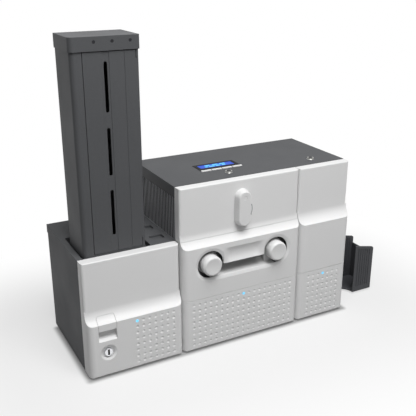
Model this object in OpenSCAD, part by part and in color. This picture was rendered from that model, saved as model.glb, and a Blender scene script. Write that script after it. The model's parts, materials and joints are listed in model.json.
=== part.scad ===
// Card printer: a modular desktop machine with an input hopper, a printer and an output module.
// X runs to the right, Y runs to the back and Z is up. The origin lies on the table,
// at the middle of the machine's footprint.

/* [Machine] */
// Width of the input hopper module
hopper_w = 158; // [150:1:180]
// Width of the printer module
printer_w = 220; // [214:1:240]
// Width of the output module
output_w = 103; // [96:1:120]
// Height of the hopper above the table
hopper_h = 191; // [180:1:205]
// Height of the printer and output modules above the table
printer_h = 279; // [270:1:300]
// Depth of the printer body, front plane to back
body_d = 184; // [176:1:210]
// Depth of the hopper body, front plane to back
hopper_d = 190; // [176:1:210]
// Height of the rubber feet
foot_h = 4; // [3:0.5:6]
// Radius of the rubber feet
foot_r = 9; // [6:0.5:11]
// Depth of the white covers, front to back
cover_d = 28; // [26:0.5:31]
// Gap left between neighbouring covers
seam = 1; // [0.8:0.1:1.4]

/* [Front form] */
// How far the upper front panels stand behind the lower ones
setback = 12.5; // [10:0.5:14]
// Radius of the hollow curve that joins upper and lower panels
cove_r = 22.2; // [20:0.2:26]
// Height of the hopper's ledge
ledge_low = 92.2; // [88:0.2:96]
// Height of the ledge on the printer and the output module
ledge_high = 182.3; // [178:0.1:186]
// Corner radius of the lower fronts, seen from above
front_r = 10; // [6:0.5:11]
// Corner radius of the upper panels, seen from above
panel_r = 4; // [2:0.5:6]
// Radius of the upper and lower front edges
edge_r = 2; // [1:0.25:2.5]
// Wall of the white covers
cover_t = 2.5; // [2:0.1:3]
// Height of the seam above the lower panels
seam_low = 94; // [93.5:0.1:98]
// Height of the seam under the upper door
seam_high = 193; // [190:0.5:195]

/* [Sheet metal] */
// Thickness of the case sheet
sheet = 1.5; // [1:0.1:2]
// Height of the folded edge round the hopper's top
hopper_lip = 14; // [10:0.5:18]
// Height of the folded edge round the printer's top
top_lip = 18; // [14:0.5:22]
// Pitch of the ribs on the side grille
grille_pitch = 4.1; // [3.6:0.1:5]
// Width of a grille rib
grille_rib = 2; // [1.4:0.1:2.4]

/* [Tower] */
// Width of the card tower
tower_w = 97.5; // [95:0.5:101]
// Depth of the card tower
tower_d = 68; // [66:0.5:72]
// Left side of the tower, from the hopper's left side
tower_x = 12; // [10.5:0.5:14]
// Gap between the front cover and the tower
tower_gap = 2.5; // [2:0.5:4]
// Height of the tower cap's top above the table
tower_h = 506; // [440:1:560]
// Height of the tower cap
cap_h = 17.5; // [14:0.5:22]
// Overhang of the cap on each side
cap_over = 1.5; // [1:0.25:2]
// Thickness of the tower's sheet
tower_t = 2; // [1.5:0.25:2.5]
// Width of the fixed strip at the tower's front left
tower_return = 16; // [12:0.5:20]
// Width of a sight slot
slot_w = 5; // [3:0.5:7]
// Length of a sight slot
slot_len = 70; // [50:1:75]
// Distance between sight slots
slot_pitch = 91.6; // [85:0.2:95]
// Height of the lowest sight slot's lower end
slot_low = 219; // [205:1:230]

/* [Cards] */
// Room between the card stack and the tower's side walls
side_room = 3.95; // [2.5:0.05:5]
// Room between the card stack and the tower's front and back walls
end_room = 5; // [3.5:0.25:6]
// Height at which cards travel through the machine
card_z = 112; // [110:0.5:114]

/* [Lower panels] */
// Distance between dimples
dimple_pitch = 10.2; // [9:0.1:12]
// Radius of a dimple's mouth
dimple_r = 2.5; // [1.5:0.1:3]
// Depth of a dimple
dimple_deep = 0.9; // [0.5:0.1:1.2]
// Rows of dimples
dimple_rows = 8; // [4:1:8]
// Columns of dimples on the hopper and output module
dimple_cols = 7; // [3:1:7]
// Columns of dimples on the printer
printer_cols = 19; // [9:1:19]
// Height of the top row of dimples and of the lights
light_z = 84.8; // [83:0.1:86]
// Radius of a light
light_r = 2.4; // [1.5:0.1:3]

/* [Hopper latch and lock] */
// Left side of the finger recess, from the hopper's left side
recess_x = 17; // [14:0.5:20]
// Width of the finger recess
recess_w = 29; // [24:0.5:34]
// Height of the recess's lower edge
recess_z = 67.5; // [64:0.5:69]
// Height of the finger recess
recess_h = 13.5; // [12:0.5:14.5]
// Depth of the finger recess
recess_d = 9; // [7:0.5:11]
// Height of the lock's centre
lock_z = 43; // [38:0.5:46]
// Radius of the lock barrel
barrel_r = 6.3; // [5:0.1:7]
// Radius of the pocket round the barrel
pocket_r = 9.5; // [8.5:0.1:10]
// Outer radius of the bevel round the lock
bevel_r = 13.2; // [11:0.1:14]

/* [Upper door and knob] */
// Half width of the oval knob at its base
oval_r = 13; // [11:0.5:15]
// Half width of the oval knob's face
oval_face_r = 9.7; // [9:0.1:12]
// Length of the oval knob's face
oval_len = 55.5; // [50:0.5:62]
// How far the oval knob stands out
oval_out = 12.3; // [8:0.1:14]
// Height of the oval knob's centre
oval_z = 233; // [230:0.5:238]

/* [Ribbon cassette] */
// Distance between the two round knobs
spool_pitch = 122; // [118:0.5:124]
// Height of the round knobs' centres
spool_z = 150; // [148.5:0.25:151.5]
// Radius of a knob at its base
knob_r = 18.5; // [16:0.25:19.5]
// Radius of a knob's face
knob_face_r = 14.7; // [12:0.1:15]
// How far a knob stands out of the front
knob_out = 8.5; // [6:0.5:11]
// Radius of the recess round a knob
well_r = 23; // [21.5:0.25:24]
// Depth of the recess round a knob
well_d = 12; // [10:0.5:14]
// Width of the bevel round the two recesses
flare = 5; // [3:0.5:6]
// Height of the grip's sharp lower edge above the knob centres
grip_drop = 2.5; // [1:0.25:3]
// Radius of the ribbon wound on the supply spool
supply_r = 23; // [15:0.5:23.5]
// Radius of the ribbon wound on the take-up spool
takeup_r = 13; // [11:0.5:18]

/* [Top controls] */
// Width of the display's surround
bezel_w = 75.5; // [66:0.5:84]
// Depth of the display's surround
bezel_d = 30.5; // [26:0.5:34]
// Back edge of the display's surround, from the front plane
bezel_y = 110.5; // [108:0.5:120]
// Depth of a menu key
key_d = 5.2; // [4.5:0.1:7]
// Height of a menu key above the top
key_h = 1; // [1:0.1:3]
// Distance of the round buttons from the front plane
button_y = 54; // [50:0.5:58]
// Radius of a round button's ring
ring_r = 5.6; // [5:0.1:6]
// Radius of a round button
button_r = 3.4; // [2.5:0.1:3.6]
// Travel of a round button
button_travel = 1.2; // [0.8:0.1:1.6]

/* [Output tray] */
// Width of the tray
bin_w = 95; // [93:0.5:104]
// Depth of the tray
bin_d = 60.5; // [59:0.5:66]
// Front of the tray, from the front plane
bin_y = 36.5; // [34:0.5:40]
// Height of the front and back walls at the tray's right end
bin_h = 90.5; // [80:0.5:94]
// How much higher the front wall is at the notch
bin_rise = 9; // [4:0.5:10]
// Height of the tray's right wall above the table
bin_side_h = 77; // [66:0.5:80]
// Wall of the tray
bin_t = 2.5; // [2:0.1:3]
// Width of the thumb notch in the tray's front
notch_w = 52; // [40:0.5:56]
// Upward travel that frees the tray from its slots
bin_lift = 12; // [8:0.5:14]

/* [Hidden] */

$fn = 48;
over = 1;
fit = 0.3;
slip = 0.05;
shadow = 0.4;

dark = "#545456";
deep = "#3c3c3e";
white = "#e6e6e4";
steel = "#9a9c9e";
chrome = "#d8d8da";
black = "#18181a";
rubber = "#222222";
lit = "#7accff";
screen_blue = "#2058e0";
ribbon_black = "#2a2430";
board_green = "#2f6b3c";

printer_x = hopper_w;
output_x = hopper_w + printer_w;
machine_w = output_x + output_w;
hopper_mid = hopper_w / 2;
printer_mid = printer_x + printer_w / 2;
output_mid = output_x + output_w / 2;
full_w = machine_w + fit + bin_w;
front_reach = max(knob_out, oval_out - setback);
centre_x = full_w / 2;
centre_y = (max(body_d, hopper_d) - front_reach) / 2;
half_seam = seam / 2;
cove_rise = sqrt(cove_r * cove_r - (cove_r - setback) * (cove_r - setback));
body_y = cover_d + shadow;

// Helpers that turn a flat outline into a solid along one axis

module place() {
    translate([-centre_x, -centre_y, 0]) children();
}

module block(lo, hi) {
    translate(lo) cube(hi - lo);
}

module along_x(from, to) {
    translate([from, 0, 0]) rotate([90, 0, 90]) linear_extrude(to - from) children();
}

module along_y(from, to) {
    translate([0, to, 0]) rotate([90, 0, 0]) linear_extrude(to - from) children();
}

module along_z(from, to) {
    translate([0, 0, from]) linear_extrude(to - from) children();
}

module rod_x(y, z, r, from, to) {
    translate([from, y, z]) rotate([0, 90, 0]) cylinder(r = r, h = to - from);
}

module rod_y(x, z, r, from, to) {
    translate([x, to, z]) rotate([90, 0, 0]) cylinder(r = r, h = to - from);
}

module rod_z(x, y, r, from, to) {
    translate([x, y, from]) cylinder(r = r, h = to - from);
}

module corner_bite(at, r, turn) {
    translate(at) rotate(turn) difference() {
        translate([-over, -over]) square(r + over);
        translate([r, r]) circle(r);
    }
}

// A rectangle whose four corners, from lower left and anticlockwise, have radii r
module soft_rect(lo, hi, r) {
    difference() {
        translate(lo) square(hi - lo);
        if (r[0] > 0) corner_bite(lo, r[0], 0);
        if (r[1] > 0) corner_bite([hi[0], lo[1]], r[1], 90);
        if (r[2] > 0) corner_bite(hi, r[2], 180);
        if (r[3] > 0) corner_bite([lo[0], hi[1]], r[3], 270);
    }
}

module slot_shape(x, lo, hi, r) {
    translate([x, lo + r]) circle(r);
    translate([x, hi - r]) circle(r);
    translate([x - r, lo + r]) square([2 * r, hi - lo - 2 * r]);
}

// Side outline of a front, in Y and Z: lower block, upper block and the cove between them
module front_outline(ledge, top, inset) {
    back = cover_d + (inset > 0 ? over : 0);
    soft_rect([inset, foot_h + inset], [back, ledge - inset], [max(edge_r - inset, 0), 0, 0, 0]);
    soft_rect([setback + inset, foot_h + 2 * inset], [back, top - inset], [0, 0, 0, max(edge_r - inset,
            0)]);
    difference() {
        translate([inset, ledge - inset - over]) square([setback, cove_rise + inset + over]);
        translate([setback - cove_r, ledge + cove_rise]) circle(cove_r + inset, $fn = 96);
        translate([inset - over, ledge - inset - 2 * over]) square([over, 4 * over]);
    }
}

// The whole front of one module; a positive inset gives the hollow inside its wall
module front_form(x0, x1, ledge, top, inset) {
    cut_r = front_r - inset;
    cut_panel = max(panel_r - inset, edge_r / 2);
    bend = ledge + cove_rise;
    lo = x0 + half_seam + inset;
    hi = x1 - half_seam - inset;
    intersection() {
        along_x(lo, hi) front_outline(ledge, top, inset);
        union() {
            along_z(foot_h, bend) soft_rect([lo, inset], [hi, cover_d + 2 * over], [cut_r, cut_r, 0, 0]);
            along_z(bend, top) soft_rect([lo, setback + inset], [hi, cover_d + 2 * over], [cut_panel,
                    cut_panel, 0, 0]);
        }
    }
}

module height_band(from, to) {
    block([-over, -over, from], [machine_w + over, cover_d + 2 * over, to]);
}

// One moulded cover: the front form between two heights, hollow from the back
module moulded_front(x0, x1, ledge, top, from, to) {
    difference() {
        intersection() {
            front_form(x0, x1, ledge, top, 0);
            height_band(from, to);
        }
        intersection() {
            front_form(x0, x1, ledge, top, cover_t);
            height_band(from + cover_t, to - cover_t);
        }
    }
}

dimple_ball = (dimple_r * dimple_r + dimple_deep * dimple_deep) / (2 * dimple_deep);

// A field of dimples whose middle column stands at x; the place of the light stays bare
module dimple_field(x, cols, lit_col) {
    for (col = [0:cols - 1], row = [0:dimple_rows - 1])
        if (!(col == lit_col && row == 0))
            translate([x + (col - (cols - 1) / 2) * dimple_pitch, dimple_deep - dimple_ball,
                       light_z - row * dimple_pitch]) sphere(dimple_ball, $fn = 24);
}

module light_hole(x) {
    rod_y(x, light_z, light_r + slip, -over, cover_t + over);
}

lens_out = 0.2;

module light_lens(x) {
    rod_y(x, light_z, light_r, -lens_out, cover_t);
}

// Hopper

case_x = 0.8;
floor_z = foot_h + sheet;
gate_h = 6;
card_play = 0.5;
tower_y = cover_d + tower_gap;
tower_x1 = tower_x + tower_w;
tower_y1 = tower_y + tower_d;
tower_mid = tower_x + tower_w / 2;
tower_mid_y = tower_y + tower_d / 2;
card_len = tower_w - 2 * (tower_t + side_room);
card_wid = tower_d - 2 * (tower_t + end_room);
tower_foot = card_z - tower_t;
card_y0 = tower_mid_y - card_wid / 2 - card_play;
card_y1 = tower_mid_y + card_wid / 2 + card_play;
case_y1 = hopper_d - case_x;
case_x1 = hopper_w;
hinge_in = 6.5;
hinge_x = hopper_w - hinge_in;
hinge_y = hinge_in;
hinge_pin_r = 1;
hinge_eye_r = 1.9;
hinge_arm_t = 4;
hinge_low = 20;
hinge_high = 76;
hinge_zs = [hinge_low, hinge_high];
hinge_boss_h = 5;
hinge_clear = 0.5;
hinge_pin_over = 4;

module hinge_arm(z) {
    along_z(z, z + hinge_arm_t) difference() {
        union() {
            translate([hinge_x, hinge_y]) circle(hinge_eye_r);
            translate([hinge_x - hinge_eye_r, hinge_y]) square([hinge_eye_r + hinge_pin_r,
                    body_y + sheet - hinge_y]);
        }
        translate([hinge_x, hinge_y]) circle(hinge_pin_r);
    }
}

// Folded box, open at the front, with a return flange that carries the cover's hinge arms
module hopper_case() {
    wall_top = hopper_h - hopper_lip - shadow;
    color(dark) difference() {
        block([case_x, body_y, foot_h], [case_x1, case_y1, wall_top]);
        block([case_x + sheet, body_y + sheet, floor_z], [case_x1 - sheet, case_y1 - sheet,
                wall_top + over]);
        block([case_x + sheet, body_y - over, floor_z],
              [hinge_x - hinge_eye_r - sheet, body_y + 2 * sheet, wall_top + over]);
        block([case_x1 - sheet - over, card_y0, card_z - gate_h / 2], [case_x1 + over, card_y1,
                card_z + gate_h / 2]);
    }
    color(dark) for (z = hinge_zs) hinge_arm(z);
}

opening_x0 = 9;
opening_x1 = 118;
opening_y0 = tower_y - fit;
opening_y1 = 118;
pocket_x0 = 127;
pocket_x1 = 150;
pocket_y = 48;
pocket_d = 15;
pocket_back_x = 138;
pocket_back_y = 90;
pocket_corner = 3;
pocket_deep = 3.5;
collar_deep = 9;

// The outlines of the two pockets in the hopper's top, or of their walls if grown
module pocket_plan(grow) {
    round_all = [pocket_corner, pocket_corner, pocket_corner, pocket_corner];
    soft_rect([pocket_x0 - grow, pocket_y - grow], [pocket_x1 + grow, pocket_y + pocket_d + grow],
            round_all);
    soft_rect([pocket_back_x - grow, pocket_back_y - grow],
              [pocket_x1 + grow, pocket_back_y + pocket_d + grow], round_all);
}

// Folded cover with two shallow pockets and a sunk collar that the tower stands through
module hopper_top() {
    lip_z = hopper_h - hopper_lip;
    round_all = [pocket_corner, pocket_corner, pocket_corner, pocket_corner];
    color(dark) difference() {
        union() {
            difference() {
                block([0, body_y, lip_z], [case_x1, hopper_d, hopper_h]);
                block([sheet, body_y - over, lip_z - over], [case_x1 - sheet, hopper_d - sheet,
                        hopper_h - sheet]);
            }
            block([opening_x0 - sheet, body_y, hopper_h - collar_deep - sheet],
                  [opening_x1 + sheet, opening_y1 + sheet, hopper_h - sheet / 2]);
            along_z(hopper_h - pocket_deep - sheet, hopper_h - sheet / 2) pocket_plan(sheet);
        }
        along_z(hopper_h - collar_deep, hopper_h + over)
            soft_rect([opening_x0, opening_y0], [opening_x1, opening_y1], round_all);
        along_z(hopper_h - pocket_deep, hopper_h + over) pocket_plan(0);
        along_z(lip_z - over, hopper_h)
            soft_rect([tower_x - fit, opening_y0], [tower_x1 + fit, tower_y1 + fit], [tower_r, 0, 0, 0]);
    }
}

module hinge_boss(z) {
    boss_r = hinge_eye_r + hinge_clear;
    rod_z(hinge_x, hinge_y, boss_r, z, z + hinge_boss_h);
    block([hinge_x - boss_r, cover_t / 2, z], [hinge_x + boss_r, hinge_y, z + hinge_boss_h]);
}

module hopper_hinge_pins() {
    color(steel) for (z = hinge_zs)
        rod_z(hinge_x, hinge_y, hinge_pin_r, z - hinge_pin_over, z + hinge_arm_t + hinge_pin_over);
}

// What the cover's rear corner would strike as it swings about its pins
module hinge_swing() {
    difference() {
        block([hinge_x, hinge_y, foot_h - over], [hopper_w, cover_d + over, hopper_h + over]);
        rod_z(hinge_x, hinge_y, cover_d - hinge_y, foot_h - 2 * over, hopper_h + 2 * over);
    }
}

latch_gap = 0.4;
latch_x0 = recess_x + latch_gap;
latch_x1 = recess_x + recess_w - latch_gap;
latch_z0 = recess_z + recess_h;
latch_rise = 10;
latch_r = 3;
latch_z1 = ledge_low + latch_rise;
latch_t = 3.5;
latch_lip = 6;
lock_x = recess_x + recess_w / 2;
lock_bevel_d = 2.2;
lock_pocket_d = 5;
lock_wall = 1.5;
barrel_in = 0.8;
barrel_end = cover_d - lock_bevel_d;
cam_t = 2;
cam_len = 17;
cam_w = 9;
key_slot_w = 2.5;
key_slot_h = 10;
key_slot_d = 6;
recess_slope = 4;
recess_wall = 1.5;

module latch_window(grow) {
    along_y(-over, cover_d) soft_rect([latch_x0 - grow, latch_z0 - grow], [latch_x1 + grow,
            latch_z1 + grow],
                                      [0, 0, latch_r + grow, latch_r + grow]);
}

module recess_cut() {
    along_x(recess_x, recess_x + recess_w) polygon([
        [-over, recess_z - recess_slope], [0, recess_z - recess_slope], [recess_slope, recess_z],
        [recess_d, recess_z + recess_wall], [recess_d, latch_z0], [-over, latch_z0]]);
}

module hopper_cover() {
    color(white) difference() {
        union() {
            moulded_front(0, hopper_w, ledge_low, hopper_h, foot_h, hopper_h);
            block([recess_x - recess_wall, cover_t / 2, recess_z - recess_slope - recess_wall],
                  [recess_x + recess_w + recess_wall, recess_d + recess_wall, latch_z0]);
            rod_y(lock_x, lock_z, bevel_r + lock_wall, cover_t / 2, lock_pocket_d + lock_wall);
            rod_y(lock_x, lock_z, barrel_r + slip + lock_wall, cover_t / 2,
                    barrel_end - cam_t - hinge_clear);
            for (z = hinge_zs) {
                hinge_boss(z - hinge_clear - hinge_boss_h);
                hinge_boss(z + hinge_arm_t + hinge_clear);
            }
        }
        recess_cut();
        intersection() {
            latch_window(latch_gap);
            front_form(0, hopper_w, ledge_low, hopper_h, -over);
        }
        translate([lock_x, 0, lock_z]) rotate([-90, 0, 0]) cylinder(r1 = bevel_r, r2 = pocket_r,
                h = lock_bevel_d);
        rod_y(lock_x, lock_z, pocket_r, 0, lock_pocket_d);
        rod_y(lock_x, lock_z, barrel_r + slip, 0, cover_d);
        for (z = hinge_zs) {
            rod_z(hinge_x, hinge_y, hinge_pin_r + slip, z - hinge_pin_over - hinge_clear,
                  z + hinge_arm_t + hinge_pin_over + hinge_clear);
            block([hinge_x - hinge_eye_r - hinge_clear, hinge_y - hinge_eye_r - hinge_clear,
                    z - hinge_clear],
                  [hopper_w + over, cover_d + over, z + hinge_arm_t + hinge_clear]);
        }
        hinge_swing();
        dimple_field(hopper_mid + dimple_pitch * (dimple_cols - 1) / 2, dimple_cols, 0);
        light_hole(hopper_mid);
    }
}

module hopper_light() {
    color(lit) light_lens(hopper_mid);
}

// A curved push plate whose lower edge closes the finger recess
module latch_button() {
    color(white) difference() {
        intersection() {
            front_form(0, hopper_w, ledge_low, hopper_h, 0);
            latch_window(0);
        }
        intersection() {
            front_form(0, hopper_w, ledge_low, hopper_h, latch_t);
            block([latch_x0 - over, -over, latch_z0 + latch_t], [latch_x1 + over, cover_d + over,
                    latch_z1 - sheet]);
        }
        block([latch_x0 - over, setback + latch_lip, latch_z0 - over], [latch_x1 + over, cover_d + over,
                latch_z1 + over]);
        block([latch_x0 - over, recess_d - fit, latch_z0 - over],
              [latch_x1 + over, cover_d + over, latch_z0 + latch_t + over]);
    }
}

module lock_barrel() {
    color(chrome) difference() {
        union() {
            rod_y(lock_x, lock_z, barrel_r, barrel_in, barrel_end);
            along_y(barrel_end - cam_t, barrel_end) slot_shape(lock_x, lock_z - cam_w / 2,
                    lock_z + cam_len, cam_w / 2);
        }
        block([lock_x - key_slot_w / 2, -over, lock_z - key_slot_h / 2],
              [lock_x + key_slot_w / 2, key_slot_d, lock_z + key_slot_h / 2]);
    }
}

// Card tower

tower_r = 7;
tower_z1 = tower_h - cap_h;
guide_x = side_room - card_play;
guide_y = end_room - card_play;
guide_w = 12;
door_gap = 0.8;
door_z0 = hopper_h + tower_gap;
cap_t = 2;
door_z1 = tower_z1 - cap_t - door_gap;
knuckle_r = 2.3;
pin_r = 1;
door_pin_x = tower_x1 - knuckle_r;
door_pin_y = tower_y + knuckle_r;
knuckle_h = 14;
door_x0 = tower_x + tower_return + door_gap;
channel_w = 11;
channel_d = 0.6;
crease_in = 21.5;
crease_w = 0.6;
crease_d = 0.4;
foot_flange = 12;
card_gate = 1.6;

module tower_plan() {
    difference() {
        soft_rect([tower_x, tower_y], [tower_x1, tower_y1], [tower_r, 0, 0, 0]);
        soft_rect([tower_x + tower_t, tower_y + tower_t], [tower_x1 - tower_t, tower_y1 - tower_t],
                  [tower_r - tower_t, 0, 0, 0]);
    }
}

module tower_guides() {
    inner_x0 = tower_x + tower_t;
    inner_x1 = tower_x1 - tower_t;
    inner_y0 = tower_y + tower_t;
    inner_y1 = tower_y1 - tower_t;
    for (x = [inner_x0, inner_x1 - guide_x]) {
        translate([x, inner_y1 - guide_w]) square([guide_x, guide_w]);
        translate([x, inner_y0 + 2 * knuckle_r]) square([guide_x, guide_w]);
    }
    for (x = [inner_x0, inner_x1 - guide_w]) translate([x, inner_y1 - guide_y]) square([guide_w, guide_y]);
    translate([inner_x0, inner_y0]) square([tower_return - tower_t, guide_y]);
}

module tower_shell() {
    knuckle_y = door_pin_y + knuckle_r + fit;
    color(dark) difference() {
        along_z(tower_foot, tower_z1) {
            tower_plan();
            tower_guides();
        }
        block([tower_x + tower_return, tower_y - over, door_z0 - door_gap],
              [tower_x1 - knuckle_r, tower_y + tower_t + fit, tower_z1 + over]);
        block([door_pin_x - knuckle_r - fit, tower_y - over, door_z0 - door_gap],
              [tower_x1 + over, knuckle_y, tower_z1 + over]);
        block([tower_x1 - tower_t - guide_w - over, card_y0, card_z], [tower_x1 + over, card_y1,
                card_z + card_gate]);
    }
    color(dark) for (z = [door_z0 - door_gap, tower_z1 - knuckle_h]) difference() {
        union() {
            rod_z(door_pin_x, door_pin_y, knuckle_r, z, z + knuckle_h);
            block([tower_x1 - tower_t, door_pin_y, z], [tower_x1, knuckle_y + fit, z + knuckle_h]);
        }
        rod_z(door_pin_x, door_pin_y, pin_r, z - over, z + knuckle_h + over);
    }
    color(dark) difference() {
        block([tower_x + tower_t / 2, tower_y + tower_t / 2, tower_foot],
              [tower_x1 - tower_t / 2, tower_y1 - tower_t / 2, card_z]);
        block([tower_x + foot_flange, tower_y + foot_flange, tower_foot - over],
              [tower_x1 - foot_flange, tower_y1 - foot_flange, card_z + over]);
    }
}

module tower_door() {
    knuckle_z0 = door_z0 - door_gap + knuckle_h + fit;
    knuckle_z1 = tower_z1 - knuckle_h - fit;
    color(dark) difference() {
        union() {
            block([door_x0, tower_y, door_z0], [door_pin_x - knuckle_r - fit, tower_y + tower_t, door_z1]);
            block([door_pin_x - knuckle_r - 2 * fit, tower_y, knuckle_z0], [door_pin_x,
                    tower_y + tower_t, knuckle_z1]);
            rod_z(door_pin_x, door_pin_y, knuckle_r, knuckle_z0, knuckle_z1);
        }
        rod_z(door_pin_x, door_pin_y, pin_r + slip, knuckle_z0 - over, knuckle_z1 + over);
        block([tower_mid - channel_w / 2, tower_y - over, door_z0 - over],
              [tower_mid + channel_w / 2, tower_y + channel_d, door_z1 + over]);
        block([tower_x1 - crease_in, tower_y - over, door_z0 - over],
              [tower_x1 - crease_in + crease_w, tower_y + crease_d, door_z1 + over]);
        for (i = [0:2]) along_y(tower_y - over, tower_y + tower_t + over)
            slot_shape(tower_mid, slot_low + i * slot_pitch, slot_low + i * slot_pitch + slot_len,
                    slot_w / 2);
    }
}

module tower_hinge_pin() {
    color(steel) rod_z(door_pin_x, door_pin_y, pin_r, door_z0 - door_gap, tower_z1);
}

cap_gap = 0.1;
screw_r = 2.4;
screw_pitch = 26;
screw_shift = 10.5;
screw_deep = 0.8;
screw_sink = 0.15;
screw_core_r = 1.5;
screw_z = tower_h - cap_h / 2 + screw_core_r;

module tower_cap() {
    face_y = tower_y - cap_over;
    color(dark) difference() {
        along_z(tower_z1 - cap_t, tower_h) soft_rect([tower_x - cap_over, face_y],
            [tower_x1 + cap_over, tower_y1 + cap_over], [tower_r, edge_r, edge_r, edge_r]);
        along_z(tower_z1 - cap_t - over, tower_z1) soft_rect([tower_x - cap_gap, tower_y - cap_gap],
            [tower_x1 + cap_gap, tower_y1 + cap_gap], [tower_r, 0, 0, 0]);
        along_z(tower_z1 - over, tower_h - cap_t) soft_rect([tower_x + cap_t, tower_y + cap_t],
            [tower_x1 - cap_t, tower_y1 - cap_t], [tower_r - cap_t, 0, 0, 0]);
        for (i = [-1:1]) {
            rod_y(tower_mid + screw_shift + i * screw_pitch, screw_z, screw_r, face_y - over,
                    face_y + screw_deep);
            rod_y(tower_mid + screw_shift + i * screw_pitch, screw_z, screw_core_r, face_y,
                    tower_y + 2 * cap_t);
        }
    }
}

module cap_screws() {
    face_y = tower_y - cap_over;
    color(black) for (i = [-1:1]) {
        rod_y(tower_mid + screw_shift + i * screw_pitch, screw_z, screw_r, face_y + screw_sink,
                face_y + screw_deep);
        rod_y(tower_mid + screw_shift + i * screw_pitch, screw_z, screw_core_r, face_y + screw_sink,
                tower_y + 2 * cap_t);
    }
}

weight_h = 14;
weight_z = card_z + fit;
weight_grip_w = 30;
weight_grip_h = 16;
weight_grip_t = 4;

module card_weight() {
    x0 = tower_mid - card_len / 2;
    y0 = tower_mid_y - card_wid / 2;
    color(steel) {
        block([x0, y0, weight_z], [x0 + card_len, y0 + card_wid, weight_z + weight_h]);
        block([tower_mid - weight_grip_w / 2, tower_mid_y - weight_grip_t / 2, weight_z + weight_h],
              [tower_mid + weight_grip_w / 2, tower_mid_y + weight_grip_t / 2,
                      weight_z + weight_h + weight_grip_h]);
    }
}

pick_r = 9;
pick_shaft_r = 3;
pick_z = card_z - pick_r;
pick_len = 40;
frame_t = 2;
frame_w = 44;
frame_in = 4;
frame_y0 = tower_y + frame_in;
frame_y1 = tower_y1 - frame_in;

// Two cheeks on a base plate that carry the pick roller and the tower's foot
module pick_frame() {
    x0 = tower_mid - frame_w / 2;
    x1 = tower_mid + frame_w / 2;
    color(steel) difference() {
        union() {
            block([x0, frame_y0, floor_z], [x1, frame_y1, floor_z + frame_t]);
            for (y = [frame_y0, frame_y1 - frame_t]) block([x0, y, floor_z], [x1, y + frame_t, tower_foot]);
        }
        rod_y(tower_mid, pick_z, pick_shaft_r + slip, frame_y0 - over, frame_y1 + over);
    }
}

module pick_roller() {
    color(rubber) rod_y(tower_mid, pick_z, pick_r, tower_mid_y - pick_len / 2, tower_mid_y + pick_len / 2);
    color(steel) rod_y(tower_mid, pick_z, pick_shaft_r, frame_y0 - fit, frame_y1 + fit);
}

pick_motor_r = 17;
pick_motor_len = 32;

module pick_motor() {
    color(steel) rod_y(tower_mid, floor_z + frame_t + pick_motor_r, pick_motor_r, frame_y1,
            frame_y1 + pick_motor_len);
}

// Printer body

body_gap = 0.2;
chassis_x0 = printer_x + body_gap / 2;
chassis_x1 = machine_w - sheet - fit;
rail_t = 2;
deck_z = foot_h + rail_t;
front_frame_in = 4;
front_frame_y = body_y + front_frame_in;
rear_frame_in = 7;
rear_frame_clear = 4;
rear_frame_y = tower_y1 + rear_frame_in;
exit_rise = 20;
frame_top_gap = 4;
rear_frame_z1 = printer_h - top_lip - frame_top_gap;
platen_r = 8;
shaft_r = 3;
platen_z = card_z - platen_r;
platen_x = printer_mid;
entry_in = 22;
entry_x = printer_x + entry_in;
entry_r = platen_r;
flip_x = output_mid;
flip_r = 24;
flip_hub_r = 4;
ear_t = 5;
ear_inset = 12;
ear_pin_r = 1;
ear_eye_r = 2;
ear_in = 10;
ear_y = cover_d - ear_in;
ear_z = printer_h - cover_t - fit - ear_eye_r;
ear_drop = 16;
ear_w = 3;
door_pin_len = 3;
head_pin_out = 32;
head_pin_x = printer_mid + head_pin_out;
head_pin_rise = 50;
head_pin_z = spool_z + head_pin_rise;
head_pin_r = 3;
ear_places = [chassis_x0 + ear_inset, output_x - half_seam - ear_inset - ear_t,
              output_x + half_seam + ear_inset, machine_w - half_seam - ear_inset - ear_t];

module cover_ear(x) {
    along_x(x, x + ear_t) difference() {
        union() {
            translate([ear_y, ear_z]) circle(ear_eye_r);
            translate([ear_y - ear_eye_r, ear_z - ear_drop]) square([2 * ear_eye_r, ear_drop]);
            translate([ear_y - ear_eye_r,
                    ear_z - ear_drop - ear_w]) square([rear_frame_y - ear_y + ear_eye_r, ear_w]);
        }
        translate([ear_y, ear_z]) circle(ear_pin_r);
    }
}

// Base plate with two cross plates for the rollers, a side wall and the arms of the cover hinges
module printer_chassis() {
    through = rear_frame_y + rail_t + over;
    color(steel) difference() {
        union() {
            block([chassis_x0, body_y, foot_h], [chassis_x1, body_d - sheet - fit, deck_z]);
            block([chassis_x0, body_y, foot_h], [chassis_x0 + sheet, body_d - sheet - fit, hopper_h]);
            block([chassis_x0, front_frame_y, foot_h], [chassis_x1, front_frame_y + rail_t, card_z]);
            block([output_x, front_frame_y, foot_h], [chassis_x1, front_frame_y + rail_t,
                    card_z + exit_rise]);
            block([chassis_x0, rear_frame_y, foot_h], [chassis_x1, rear_frame_y + rail_t, rear_frame_z1]);
            for (x = ear_places) cover_ear(x);
            rod_y(head_pin_x, head_pin_z, head_pin_r, front_frame_y + rail_t, rear_frame_y + rail_t);
        }
        rod_y(platen_x, platen_z, shaft_r + slip, front_frame_y - over, through);
        rod_y(entry_x, platen_z, shaft_r + slip, front_frame_y - over, through);
        rod_y(flip_x, card_z, flip_hub_r + slip, front_frame_y - over, through);
        block([chassis_x0 - over, card_y0, card_z - gate_h / 2], [chassis_x0 + sheet + over, card_y1,
                card_z + gate_h / 2]);
        block([chassis_x0 - over, rear_frame_y - over, hopper_h],
              [chassis_x0 + rear_frame_clear, rear_frame_y + rail_t + over, rear_frame_z1 + over]);
    }
}

module cover_hinge_pins() {
    color(steel) for (x = ear_places) rod_x(ear_y, ear_z, ear_pin_r, x - door_pin_len,
            x + ear_t + door_pin_len);
}

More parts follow.
